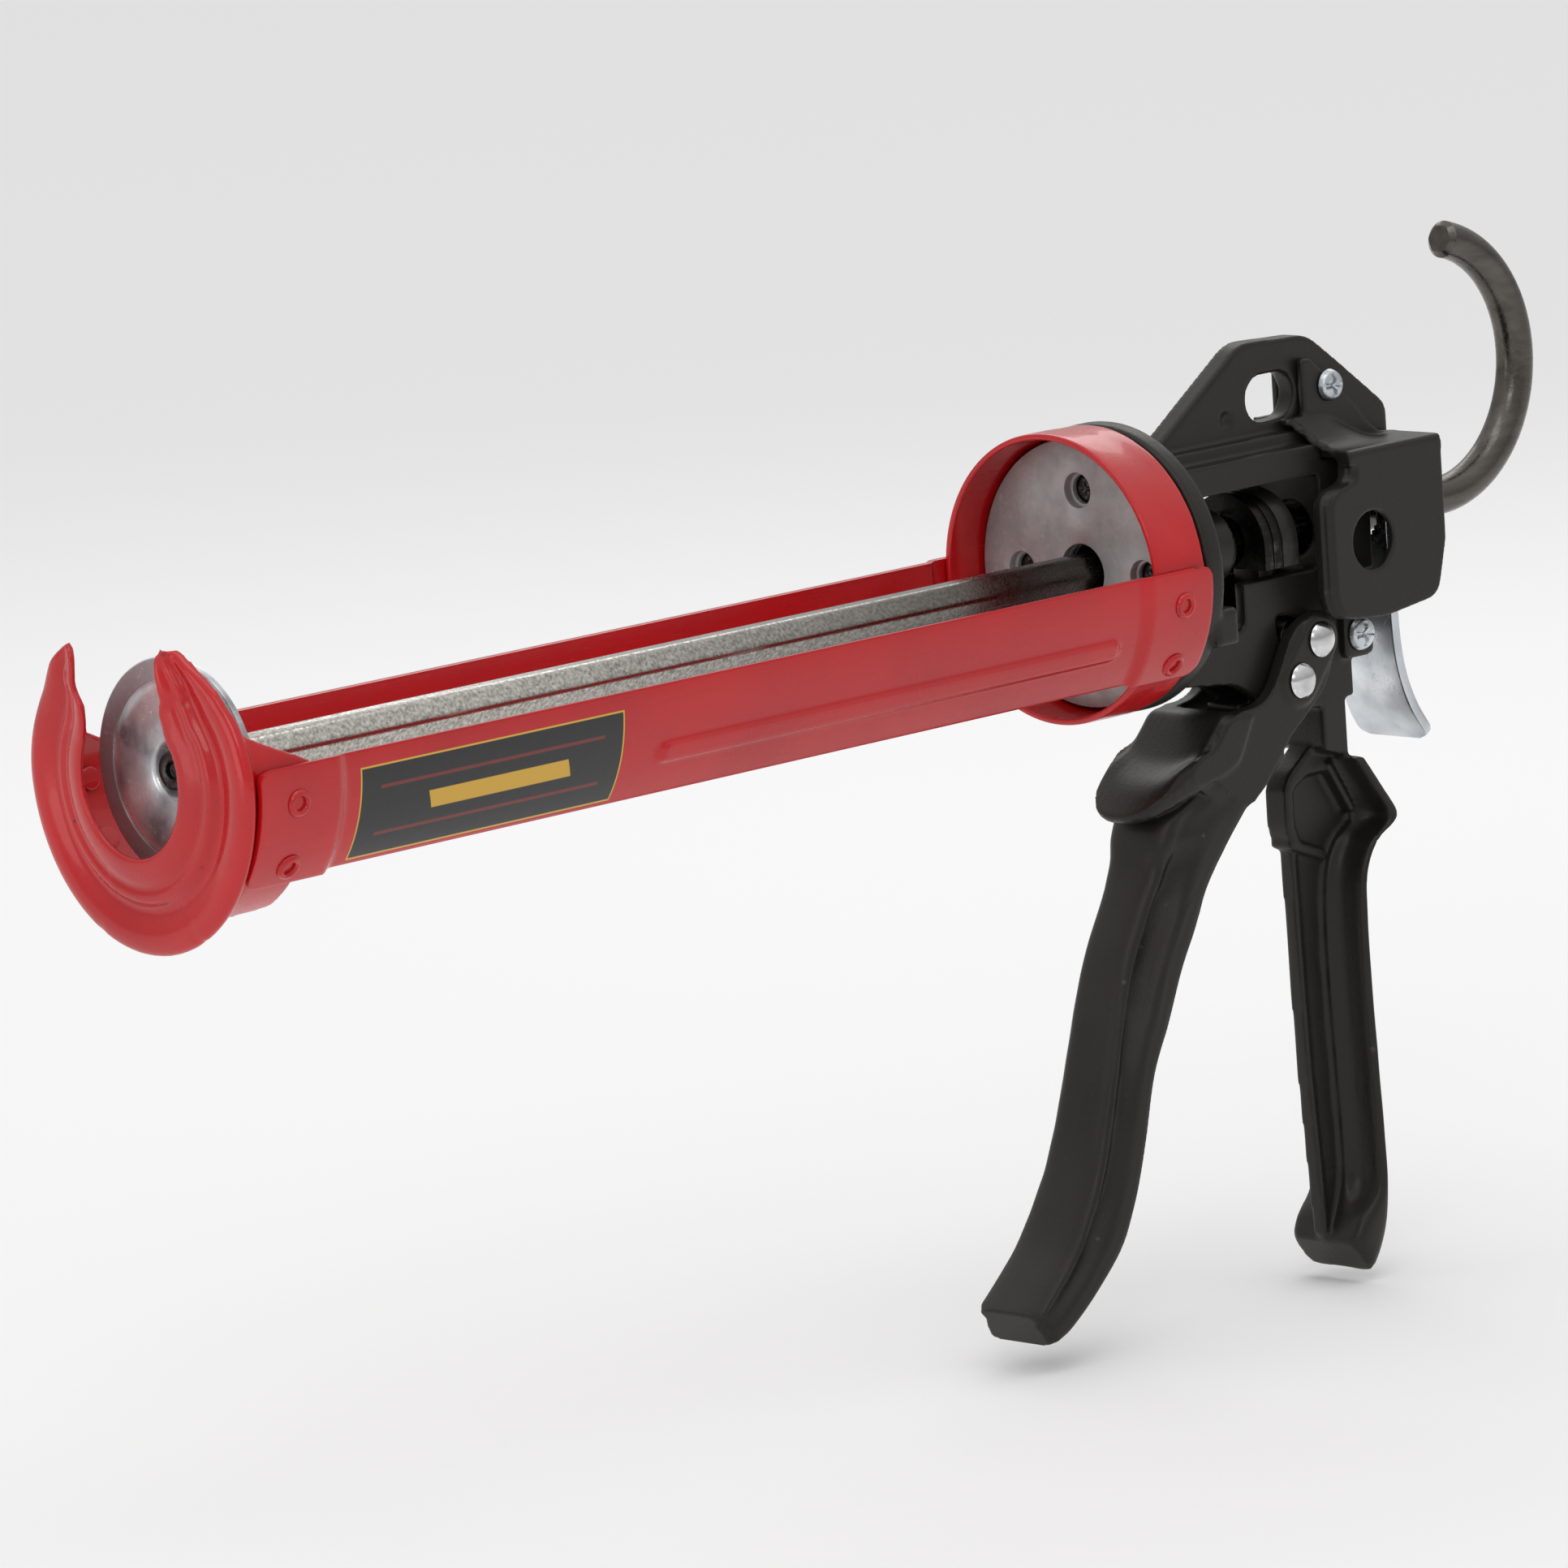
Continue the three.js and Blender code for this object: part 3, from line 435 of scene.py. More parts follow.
stripe_half = worked("ABSOLUTE", worked("SUBTRACT", half_z, 0.0042))
stripe = worked("MULTIPLY", below(stripe_half, 0.0003), below(half_x, 0.0265))
colour_in = rail_shader.inputs["Base Color"].links[0].from_socket
rough_in = rail_shader.inputs["Roughness"].links[0].from_socket
striped = blended(rail_tree, stripe, (0.012, 0.012, 0.012, 1), (0.16, 0.02, 0.015, 1))
barred = blended(rail_tree, bar, striped, (0.62, 0.36, 0.03, 1))
bordered = blended(rail_tree, inner_field, (0.66, 0.42, 0.05, 1), barred)
film_colour = blended(rail_tree, film, colour_in, bordered)
rail_tree.links.new(film_colour, rail_shader.inputs["Base Color"])
film_rough = node(rail_tree, "Mix", {2: rough_in, 3: 0.34, 0: film}, data_type="FLOAT")
rail_tree.links.new(film_rough.outputs[0], rail_shader.inputs["Roughness"])

for side, side_name in ((-1, "left"), (1, "right")):
    rail = fit_piece(f"rail_{side_name}_strip", pressed_sheet(300, 44, rail_place(side)), "cradle",
                     rail_enamel, [f"rail_{side_name}"])
    thicken(rail, sheet_wall, 0.0003, (0.116, 0, 0))


# --- Collar -------------------------------------------------------------------------------
# A rolled steel band in the same enamel round the cradle's rear, its front lip left open and its
# rear lip turned in over the casting's hub.
def rounded(points, steps=5, closed=True):
    """Corner points with fillet radii become a smooth outline."""
    rim = []
    for i, (u, v, *fillet) in enumerate(points):
        here = Vector((u, v))
        if not closed and i in (0, len(points) - 1):
            rim.append(here)
            continue
        before = Vector(points[i - 1][:2]) - here
        after = Vector(points[(i + 1) % len(points)][:2]) - here
        radius = min(fillet[0] if fillet else 0, before.length * 0.45, after.length * 0.45)
        if radius == 0:
            rim.append(here)
            continue
        start, end = here + before.normalized() * radius, here + after.normalized() * radius
        for k in range(steps + 1):
            t = k / steps
            rim.append(start * (1 - t) ** 2 + here * 2 * t * (1 - t) + end * t ** 2)
    return rim


def turned(profile, steps=64, closed=False, shape=None):
    """A piece turned about the rod's axis from its (x, radius, fillet) profile."""
    shape = shape or bmesh.new()
    line = rounded(profile, closed=closed)
    corners = [shape.verts.new((x, 0, radius)) for x, radius in line]
    joined = list(zip(corners, corners[1:])) + ([(corners[-1], corners[0])] if closed else [])
    edges = [shape.edges.new(pair) for pair in joined]
    bmesh.ops.spin(shape, geom=corners + edges, cent=(0, 0, 0), axis=(1, 0, 0), angle=2 * math.pi,
                   steps=steps, use_merge=True)
    bmesh.ops.remove_doubles(shape, verts=shape.verts, dist=weld)
    return shape


collar_shape = turned([
    (218.0, 26.2, 0.5), (218.0, 27.4, 0.5), (219.4, 27.45, 1), (226, 27.3, 3), (231.2, 27.4, 0.9),
    (231.2, 20.6, 0.4), (230.0, 20.6, 0.4), (230.0, 26.2, 0.8), (226, 26.15, 3)], 120, closed=True)
for corner in collar_shape.verts:
    if corner.co.x > 219:
        wave = noise.noise(corner.co * 0.13) * 0.22 + noise.noise(corner.co * 0.4) * 0.06
        corner.co.yz *= 1 + wave * ease(corner.co.x, 219, 223) / 27
fit_piece("collar_band", collar_shape, "cradle", red_enamel, ["collar"])


# --- Rail rivets --------------------------------------------------------------------------
# Eight small steel tubular rivets hold the rails to the cap and the collar. They are spread from
# inside and painted over in the cradle's enamel.
def set_down(shape, degrees, axis, place):
    """Turns a shape about an axis through the origin, then moves it."""
    bmesh.ops.rotate(shape, verts=shape.verts, matrix=Matrix.Rotation(math.radians(degrees), 3, axis))
    bmesh.ops.translate(shape, verts=shape.verts, vec=place)


for side, side_name in ((-1, "left"), (1, "right")):
    for end_name, x in (("front", 3.6), ("rear", 223.7)):
        for level_name, angle in (("upper", -8), ("lower", -32)):
            rivet = turned([
                (-27.9, 0), (-27.9, 0.9, 0.2), (-29.3, 1.2, 0.2), (-29.75, 1.65, 0.3), (-29.5, 2.2, 0.3),
                (-28.85, 2.6, 0.3), (-28.7, 1.4), (-25.9, 1.4), (-25.9, 2.2, 0.2), (-25.4, 2.0, 0.3),
                (-25.4, 0)], 28)
            set_down(rivet, -side * 90, "Z", (0, 0, 0))
            set_down(rivet, side * angle, "X", (x, 0, 0))
            rivet_name = f"rail_rivet_{side_name}_{end_name}_{level_name}"
            fit_piece(rivet_name + "_head", rivet, "cradle", red_enamel, [rivet_name])

# --- Plunger ------------------------------------------------------------------------------
# A zinc-plated disc, flat at its edge and dished in the middle, backed by a washer and held on
# the rod by a dark socket screw in a small ring.
zinc = surface(
    "zinc", (0.80, 0.83, 0.86), (0.46, 0.49, 0.52), (0.88, 0.9, 0.91), (0.2, 0.42), 1, (0.15, 0.0001),
    (95, 2200, 0.56, 0.25))
# A duller, darker zinc. It is the washer's own finish; on the disc's edge ring it is partly painted shade.
dull_zinc_and_shade = surface(
    "dull_zinc_and_shade", (0.50, 0.51, 0.53), (0.36, 0.37, 0.39), (0.7, 0.7, 0.72), (0.38, 0.55), 0.75,
    (0.3, 0.0001), (150, 2600, 0.56, 0.3))
dark_steel = surface(
    "dark_steel", (0.085, 0.08, 0.075), (0.05, 0.047, 0.045), (0.3, 0.29, 0.28), (0.28, 0.5), 1,
    (0.2, 0.0001), (200, 2400, 0.55, 0.3))

bright_zinc = surface(
    "bright_zinc", (0.86, 0.88, 0.90), (0.26, 0.27, 0.29), (0.9, 0.92, 0.93), (0.24, 0.4), 0.7,
    (0.15, 0.0001), (130, 2200, 0.56, 0.25))
disc_shape = turned([
    (2.2, 2.5), (2.2, 4.1, 0.5), (0.6, 5.0, 0.6), (0.15, 8.5, 3), (0.3, 13.4, 2), (1.25, 15.9, 1),
    (1.1, 19.7, 0.3), (2.5, 19.7, 0.5), (2.6, 16.2, 1), (1.8, 13.6, 2), (1.6, 8.5, 3), (2.0, 6.2, 0.6),
    (3.6, 5.0, 0.5), (3.6, 2.5)], 120, closed=True)
fit_piece("plunger_dish", disc_shape, "plunger", bright_zinc, ["plunger_disc"], 50)
# A thin sheet of the darker zinc laid over the disc's flat edge: partly its duller finish, partly painted
# shade on that edge.
rim_ring_painted_shade = turned([(1.02, 15.95, 0.04), (1.02, 19.4, 0.04), (1.14, 19.4, 0.04), (1.14, 15.95, 0.04)], 120,
                  closed=True)
fit_piece("plunger_outer_ring_painted_shade", rim_ring_painted_shade, "plunger", dull_zinc_and_shade)
fit_piece("plunger_backing", turned([
    (3.9, 2.5, 0.2), (3.9, 9, 0.3), (5.1, 9, 0.3), (5.1, 2.5, 0.2)], 72, closed=True), "plunger", dull_zinc_and_shade,
    ["plunger_washer"])

nose_shape = turned([
    (1.3, 0), (1.3, 1.3, 0.15), (0.25, 1.5, 0.2), (0, 2.1, 0.3), (0.1, 3.1, 0.3), (0.7, 3.6, 0.3),
    (1.9, 3.6, 0.2), (1.9, 2.1), (9.9, 2.1, 0.4), (9.9, 0)], 48)
fit_piece("plunger_socket_screw", nose_shape, "rod", dark_steel, ["plunger_nose_screw"])

# --- Rod ----------------------------------------------------------------------------------
# A drawn hexagonal steel bar, bright and mottled in front and darker behind, bent up into the
# pull hook, with its tip chamfered.
rod_start, rod_bend, hook_radius = 5.4, 326.0, 25.0
hook_sweep = math.radians(166)
rod_half, chamfer = 3.5, 0.6


def only(kind, geometry):
    """The verts, edges or faces among mixed results."""
    return [g for g in geometry if isinstance(g, kind)]



rod_shape = bmesh.new()
ring = bmesh.ops.create_circle(rod_shape, segments=48, radius=rod_half, cap_ends=False)["verts"]
for corner in ring:
    angle = math.atan2(corner.co.y, corner.co.x)
    off_flat = (angle + math.pi / 6) % (math.pi / 3) - math.pi / 6
    reach = min(rod_half / math.cos(off_flat), rod_half + 0.32)
    corner.co = Vector((rod_start, reach * math.sin(angle), reach * math.cos(angle)))
tip = bmesh.ops.extrude_edge_only(rod_shape, edges=rod_shape.edges[:])["geom"]
bmesh.ops.translate(rod_shape, verts=only(bmesh.types.BMVert, tip), vec=(chamfer, 0, 0))
bmesh.ops.scale(rod_shape, verts=ring, vec=(1, 0.86, 0.86))
last = only(bmesh.types.BMEdge, tip)
bmesh.ops.contextual_create(rod_shape, geom=ring)
for x in (120.0, 240.0, rod_bend):
    run = bmesh.ops.extrude_edge_only(rod_shape, edges=last)["geom"]
    for corner in only(bmesh.types.BMVert, run):
        corner.co.x = x
    last = only(bmesh.types.BMEdge, run)
bend = bmesh.ops.spin(
    rod_shape, geom=last, cent=(rod_bend, 0, hook_radius), axis=(0, -1, 0), angle=hook_sweep, steps=56)
hook_ring = only(bmesh.types.BMEdge, bend["geom_last"])
tip_verts = only(bmesh.types.BMVert, bmesh.ops.extrude_edge_only(rod_shape, edges=hook_ring)["geom"])
onward = Vector((math.cos(hook_sweep), 0, math.sin(hook_sweep)))
centre = sum((v.co for v in tip_verts), Vector()) / len(tip_verts)
for corner in tip_verts:
    corner.co = centre + (corner.co - centre) * 0.72 + onward * 1.0
bmesh.ops.contextual_create(rod_shape, geom=tip_verts)
for corner in rod_shape.verts:
    if corner.co.x > rod_bend - 8:
        middle = Vector((corner.co.x, 0, 0))
        if corner.co.x > rod_bend or corner.co.z > 6:
            away = Vector((corner.co.x - rod_bend, 0, corner.co.z - hook_radius))
            middle = Vector((rod_bend, 0, hook_radius)) + away.normalized() * hook_radius
        spoke = corner.co - middle
        if spoke.length > 2.9:
            corner.co = middle + spoke.normalized() * (rod_half + 0.12)

rod_steel = surface(
    "rod_steel", (0.64, 0.62, 0.57), (0.24, 0.23, 0.21), (0.75, 0.73, 0.69), (0.16, 0.36), 1,
    (0.25, 0.0001), (1500, 1700, 0.6, 0.3))
rod_tree = rod_steel.node_tree
rod_shader = rod_tree.nodes["Principled BSDF"]
rod_place = node(rod_tree, "TexCoord").outputs["Object"]
# From about 70 mm back the bar's colour turns darker, in streaks along it.
darker = node(rod_tree, "MapRange", {
    "Value": node(rod_tree, "SeparateXYZ", {"Vector": rod_place}).outputs["X"],
    "From Min": 0.07, "From Max": 0.23, "To Min": 0, "To Max": 1}, interpolation_type="SMOOTHSTEP")
drawn = node(rod_tree, "Mapping", {"Vector": rod_place, "Scale": (30, 420, 420)})
streaks = node(rod_tree, "TexNoise", {"Vector": drawn.outputs[0], "Scale": 1})
rear_streak_tone = blended(rod_tree, streaks.outputs["Fac"], (0.055, 0.05, 0.045, 1), (0.16, 0.145, 0.13, 1))
bright = rod_shader.inputs["Base Color"].links[0].from_socket
rod_colour = blended(rod_tree, darker.outputs[0], bright, rear_streak_tone)
rod_tree.links.new(rod_colour, rod_shader.inputs["Base Color"])
fit_piece("hooked_rod", rod_shape, "rod", rod_steel, ["plunger_rod"], 40)


# --- Frame casting ------------------------------------------------------------------------
# One aluminium die casting in a satin black coat: the round flange, the beams and boss round the
# rod, the hanging web, the cheeks for the trigger, and the fixed handle with its palm flange.
def plate(shape, rim, holes, way, start, end):
    """A plate cut to an outline with holes, given its thickness along X or Y."""
    def place(u, v, depth):
        return (depth, u, v) if way == "X" else (u, depth, v)
    edges = []
    for loop in (rim, *holes):
        corners = [shape.verts.new(place(u, v, start)) for u, v in loop]
        edges += [shape.edges.new(pair) for pair in zip(corners, corners[1:] + corners[:1])]
    faces = only(bmesh.types.BMFace, bmesh.ops.triangle_fill(shape, use_beauty=True, edges=edges)["geom"])
    raised = bmesh.ops.extrude_face_region(shape, geom=faces, use_keep_orig=True)["geom"]
    moved = only(bmesh.types.BMVert, raised)
    bmesh.ops.translate(shape, verts=moved, vec=place(0, 0, end - start))
    whole = {f for g in moved for f in g.link_faces} | set(faces)
    bmesh.ops.recalc_face_normals(shape, faces=list(whole))
    return whole


def soften(shape, faces, width, segments=2):
    """Rounds the sharp edges of the given faces."""
    edges = {e for f in faces if f.is_valid for e in f.edges if e.is_manifold}
    sharp = [e for e in edges if e.calc_face_angle(0) > math.radians(32)]
    bmesh.ops.bevel(shape, geom=sharp, offset=width, offset_type="OFFSET", segments=segments,
                    profile=0.5, affect="EDGES", material=-1, clamp_overlap=True)


def circle(radius, count, u=0.0, v=0.0):
    return [(u + radius * math.cos(2 * math.pi * k / count), v + radius * math.sin(2 * math.pi * k / count))
            for k in range(count)]


def box_rim(u0, u1, v0, v1, fillet=0.0):
    return rounded([(u0, v0, fillet), (u1, v0, fillet), (u1, v1, fillet), (u0, v1, fillet)])


def moved_rim(points, steps=5):
    """An outline drawn from the casting's front face, moved to its place on the gun."""
    return rounded([(casting_front + u, v, *fillet) for u, v, *fillet in points], steps)


casting_front = 231.7
rod_hole = circle(5.3, 32)
pivot = Vector((casting_front + 41.3, -27))
upper_pin = pivot + Vector((6, 7))

casting = bmesh.new()


def cast(rim, holes, way, start, end, edge=0.7):
    soften(casting, plate(casting, rim, holes, way, start, end), edge)


cast(circle(27.4, 120), [rod_hole], "X", 231.7, 236.4, 0.8)
cast(circle(20, 80), [rod_hole], "X", 229.8, 232.5, 0.3)
for side in (-1, 1):
    cast(box_rim(side * 22.9 - 3, side * 22.9 + 3, -14, -7, 0.8), [], "X", 235, 240.7)
cast(box_rim(-8, 8, -24, 17, 1), [circle(6.4, 32)], "X", 235, 242.7, 0.9)
cast(circle(7.2, 48), [circle(6.3, 32)], "X", 238, 261.2, 0.25)
cast(box_rim(235, 285.3, 10.8, 16.6, 1.2), [], "Y", -8, 8, 2.2)
cast(box_rim(236, 285.3, 14.4, 19.2, 1.6), [], "Y", -4.8, 4.8, 1.9)
cast(box_rim(279, 308.7, 12.2, 13.4), [], "Y", -8, 8, 0.4)
cast(box_rim(304.2, 308.7, 8, 13, 0.6), [], "Y", -8, 8, 0.5)
web_rim = moved_rim([
    (15, 15), (15, 20.9, 1), (39.3, 37.3, 3), (57.8, 36.6, 3), (66.3, 30.3), (79, 20.5, 2), (79, 14)])
hole_half = 2.3
hang_hole = [Vector((u + math.copysign(hole_half, u - 278.3), v)) for u, v in circle(4.5, 48, 278.35, 26.1)]
cast(web_rim, [hang_hole, circle(1.5, 20, 265.8, 23.4)], "Y", -2.3, 2.3, 0.6)
cast(circle(1.9, 24, 265.8, 23.4), [], "Y", -1.6, 1.6, 0.2)

cheek_rim = moved_rim([
    (10, -16), (31.5, -16, 2), (31.5, -7.2, 1), (60.5, -7.2), (60.5, -33), (48, -34, 3), (41.3, -34.5, 5),
    (34, -30, 4), (28, -26, 3), (10, -24)])
swing, track_half = math.hypot(6, 7), 2.8
arc = [math.atan2(7, 6) - 0.3 + k * (math.radians(30) + 0.6) / 12 for k in range(13)]
track = [(pivot.x + far * math.cos(a), pivot.y + far * math.sin(a))
         for far, angles in ((swing + track_half, arc), (swing - track_half, arc[::-1])) for a in angles]
for side in (-1, 1):
    cast(cheek_rim, [track, circle(2.6, 24, *pivot)], "Y", *sorted((side * 3.9, side * 6.5)))
cast(box_rim(241, 264.7, -24.2, -16, 1), [], "Y", -6.4, 6.4)
cast(box_rim(283.3, 292.2, -33, -7.2), [], "Y", -6.4, 6.4, 0.5)
cast(box_rim(262, 284, -33.6, -30.4), [], "Y", -4.2, 4.2, 0.3)
cast(box_rim(-8, 8, -9, 13.3, 1), [rod_hole], "X", 284.2, 292.2, 0.7)
for side in (-1, 1):
    cast(box_rim(290, 298.4, -9.5, 7, 1), [], "Y", *sorted((side * 6.7, side * 8)), 0.4)
cast(box_rim(288.2, 296.2, -25.5, -16.5, 1.6), [circle(2.2, 24, 292.2, -21)], "Y", -8.8, 8.8)

web_rim_low = [
    (52, -30), (52, -42), (45.2, -46.4, 2), (43.7, -49, 1), (43.6, -57, 2), (45.6, -61.5, 2), (46.1, -85),
    (46.6, -104), (48.0, -126, 6), (48.6, -137, 1), (53, -142), (57, -132), (56.4, -66, 3), (63.5, -57, 2),
    (57.4, -46, 3), (57.8, -30)]
cast(moved_rim(web_rim_low), [], "Y", -1.1, 1.1, 0.3)
bead_rim = [
    (45.6, -61.5, 2), (46.1, -85), (46.6, -104), (48.0, -126, 6), (48.6, -137, 1), (49.8, -137, 0.5),
    (49.2, -126, 6), (47.8, -104), (47.3, -85), (46.8, -60)]
cast(moved_rim(bead_rim), [], "Y", -1.6, 1.6, 0.5)
shoulder_rim = [
    (51.5, -30), (51.5, -42), (45.2, -46.4, 2), (43.7, -49, 1), (43.6, -57, 2), (45.2, -60.6, 1),
    (47.4, -59.6, 1), (46.0, -56, 1), (46.1, -49.6, 1), (50, -47.4, 1), (58, -47.4), (58, -30)]
cast(moved_rim(shoulder_rim), [], "Y", -2.8, 2.8, 0.8)
cast(moved_rim([(51.5, -28), (51.5, -42.5, 1), (58.2, -44.5, 1), (58.2, -28)]), [], "Y", -6.5, 6.5, 1.0)
cast(moved_rim([(44.2, -60.6, 0.5), (44.6, -58.6, 0.5), (54.6, -62.6, 0.6), (54.2, -64.6, 0.6)]), [], "Y",
     -2.9, 2.9, 0.6)
cast(moved_rim([(54.2, -46, 0.4), (55.6, -45.4, 0.4), (61.8, -55.4), (60.6, -56.2)]), [], "Y", -4.2, 4.2, 0.5)


def loft(shape, rings):
    """A closed skin through rings of equally many points, with flat ends."""
    made = []
    for ring in rings:
        corners = bmesh.ops.create_circle(shape, segments=len(ring), radius=1, cap_ends=False)["verts"]
        for corner, spot in zip(corners, ring):
            corner.co = spot
        made.append(corners)
    for first, second in zip(made, made[1:]):
        near = set(first + second)
        nearby = {e for v in near for e in v.link_edges if e.other_vert(v) in near}
        bmesh.ops.bridge_loops(shape, edges=[e for e in nearby if len(e.link_faces) < 2])
    for end in (made[0], made[-1]):
        bmesh.ops.contextual_create(shape, geom=end)


def handle_rings(stations, count, half_at):
    """Rings along a handle from its (front x, front z, back x, back z) stations; half_at gives one
    side of the section, front to back, as (share of the way back, half width) pairs."""
    rings = []
    for k, station in enumerate(flowing(stations, count)):
        front = Vector((casting_front + station[0], 0, station[1]))
        back = Vector((casting_front + station[2], 0, station[3]))
        side_line = flowing([(10 * q, w) for q, w in half_at(k / (count - 1))], 30)
        ring = [(p.x / 10, p.y) for p in side_line] + [(p.x / 10, -p.y) for p in reversed(side_line[1:-1])]
        rings.append([front.lerp(back, q) + Vector((0, w, 0)) for q, w in ring])
    return rings


palm_stations = [
    (54.6, -45.4, 59.6, -44.6), (58.6, -51.5, 64.6, -51.3), (62.0, -56.6, 68.3, -56.6),
    (61.4, -58.4, 67.0, -58.8), (57.0, -61.4, 62.0, -61.6), (54.4, -66.5, 58.9, -66.8),
    (53.4, -74, 58.2, -74), (53.2, -86, 58.2, -86), (53.8, -104, 58.8, -104), (54.3, -118, 59.3, -117),
    (54.2, -126, 59.5, -128), (52.4, -132, 58.6, -137), (49.4, -138.2, 54.6, -144.8)]
flange_run = [(0.0, 0.0), (0.0, 2.0), (0.03, 2.7), (0.30, 3.3), (0.50, 4.8), (0.57, 6.8), (0.58, 8.5),
              (0.68, 9.4), (0.86, 9.5), (0.97, 8.6), (1.0, 7.0), (1.0, 0.0)]
flange_toe = [(0.0, 0.0), (0.0, 2.0), (0.0, 3.4), (0.0, 5.0), (0.0, 6.6), (0.02, 7.8), (0.10, 8.8),
              (0.3, 9.3), (0.7, 9.3), (0.9, 8.7), (1.0, 7.4), (1.0, 0.0)]


def palm_half(share):
    toe = ease(share, 0.83, 0.96)
    end = min(max((share - 0.96) / 0.04, 0), 1)
    narrow = 1 - 0.14 * (1 - math.sqrt(1 - end ** 2))
    return [(a + (c - a) * toe, (b + (d - b) * toe) * narrow)
            for (a, b), (c, d) in zip(flange_run, flange_toe)]


loft(casting, handle_rings(palm_stations, 90, palm_half))

black_coat = surface(
    "black_coat", (0.0105, 0.0098, 0.0086), (0.015, 0.014, 0.0123), (0.05, 0.046, 0.041), (0.33, 0.45), 0,
    (0.35, 0.0001), (45, 1500, 0.54, 0.12),
    Specular_IOR_Level=0.33, Specular_Tint=(1, 0.95, 0.87, 1))

frame_piece = fit_piece("frame_and_handle", casting, "frame", black_coat, ["frame_casting"])
flow_together(frame_piece, 0.0005, 3)

# --- Front plate --------------------------------------------------------------------------
# A bare die-cast disc inside the collar, scratched by cartridges, with counterbored holes for the
# four screws that hold it to the casting.
bare_cast = surface(
    "bare_cast", (0.44, 0.435, 0.43), (0.30, 0.295, 0.29), (0.58, 0.575, 0.57), (0.4, 0.6), 0.45,
    (0.4, 0.0002), (170, 900, 0.56, 0.6))
front_plate = bmesh.new()
screw_spots = [(15.6 * math.cos(a * math.pi / 2), 15.6 * math.sin(a * math.pi / 2)) for a in range(4)]
for hole, corners, near, far, edge in ((3.3, 32, 226.5, 228.2, 0.3), (2.75, 28, 228.2, 229.4, 0.2)):
    holes = [circle(5.5, 40)] + [circle(hole, corners, *spot) for spot in screw_spots]
    soften(front_plate, plate(front_plate, circle(25.4, 120), holes, "X", near, far), edge)
fit_piece("front_plate_disc", front_plate, "frame", bare_cast, ["front_plate"])


# --- Screws, nut and rivets ---------------------------------------------------------------
# Pan-head screws with cross recesses, dark steel in the front plate and zinc-plated elsewhere, one plain
# hexagon nut, and the two domed rivets the trigger swings on, polished bright.
def cross_head(radius, height, shank, length):
    """A pan head on a shank, its face towards -X and its seat at x = 0, with a cross recess."""
    screw = turned([
        (-height * 0.55, 0), (-height, radius * 0.34, 0.05), (-height * 0.97, radius * 0.5, 0.2),
        (-height * 0.72, radius * 0.86, 0.4), (0, radius, 0.15), (0, shank), (length, shank, 0.2),
        (length, 0)], 40)
    for corner in screw.verts:
        off = math.hypot(corner.co.y, corner.co.z)
        if corner.co.x < -height * 0.5 and off < radius * 0.62:
            arm = min(abs(corner.co.y), abs(corner.co.z))
            if arm < radius * 0.12:
                corner.co.x = max(corner.co.x, -height * 0.45)
    return screw


for number, (y, z) in enumerate(screw_spots, 1):
    screw = cross_head(2.5, 0.6, 1.6, 3.2)
    bmesh.ops.translate(screw, verts=screw.verts, vec=(229.5, y, z))
    fit_piece(f"plate_screw_{number}_pan", screw, "frame", dark_steel,
              [f"plate_screw_{number}"])
for side, side_name in ((-1, "left"), (1, "right")):
    screw = cross_head(3.15, 1.6, 1.5, 4.1)
    set_down(screw, -side * 90, "Z", (292.6, side * 4.4, 26.5))
    fit_piece(f"cover_screw_{side_name}_pan", screw, "frame", zinc,
              [f"cover_screw_{side_name}"])
screw = cross_head(3.3, 1.6, 1.8, 21.2)
set_down(screw, 90, "Z", (292.2, -9.1, -21))
fit_piece("lug_screw_pan", screw, "frame", zinc, ["lug_screw"])
nut = bmesh.new()
soften(nut, plate(nut, [Vector(p) + Vector((292.2, -21)) for p in circle(3.4, 6)],
                  [circle(2.1, 24, 292.2, -21)], "Y", 9.1, 11.7), 0.3)
fit_piece("lug_hex_nut", nut, "frame", zinc, ["lug_nut"])

polished = surface(
    "polished_rivet", (0.74, 0.74, 0.74), (0.5, 0.5, 0.5), (0.9, 0.9, 0.9), (0.08, 0.26), 1, (0.1, 0.0001),
    (300, 2500, 0.56, 0.3))
for rivet_name, spot in (("pivot_rivet", pivot), ("drive_rivet", upper_pin)):
    rivet = turned([
        (-12.9, 0), (-12.75, 1.4, 0.8), (-12.2, 2.7, 0.6), (-11.3, 3.5, 0.2), (-11.3, 2.0), (11.3, 2.0),
        (11.3, 3.5, 0.2), (12.2, 2.7, 0.6), (12.75, 1.4, 0.8), (12.9, 0)], 40)
    set_down(rivet, 90, "Z", (spot.x, 0, spot.y))
    fit_piece(rivet_name + "_domed", rivet, "trigger", polished, [rivet_name])
sleeve = turned([(-3.6, 2.3, 0.2), (-3.6, 3.2, 0.3), (3.6, 3.2, 0.3), (3.6, 2.3, 0.2)], 32, closed=True)
set_down(sleeve, 90, "Z", (upper_pin.x, 0, upper_pin.y))
fit_piece("drive_sleeve_tube", sleeve, "trigger", dark_steel, ["drive_sleeve"])


# --- Covers -------------------------------------------------------------------------------
# Two black pressed covers, mirror images, over the release: a flat side with a round hole, a top
# that sweeps up against the web, and a tab under the screw.
cover_top = 15.2


def cover_height(x):
    """Height of the cover's edge against the web, at a place along the gun."""
    line = [(285.6, 31.6), (286.6, 32.4), (288.2, 32.2), (300.2, 21.9), (303.2, 18.4), (306.4, 15.9),
            (311.7, cover_top)]
    for (x0, z0), (x1, z1) in zip(line, line[1:]):
        if x <= x1:
            return z0 + (z1 - z0) * min(max((x - x0) / (x1 - x0), 0), 1)
    return line[-1][1]


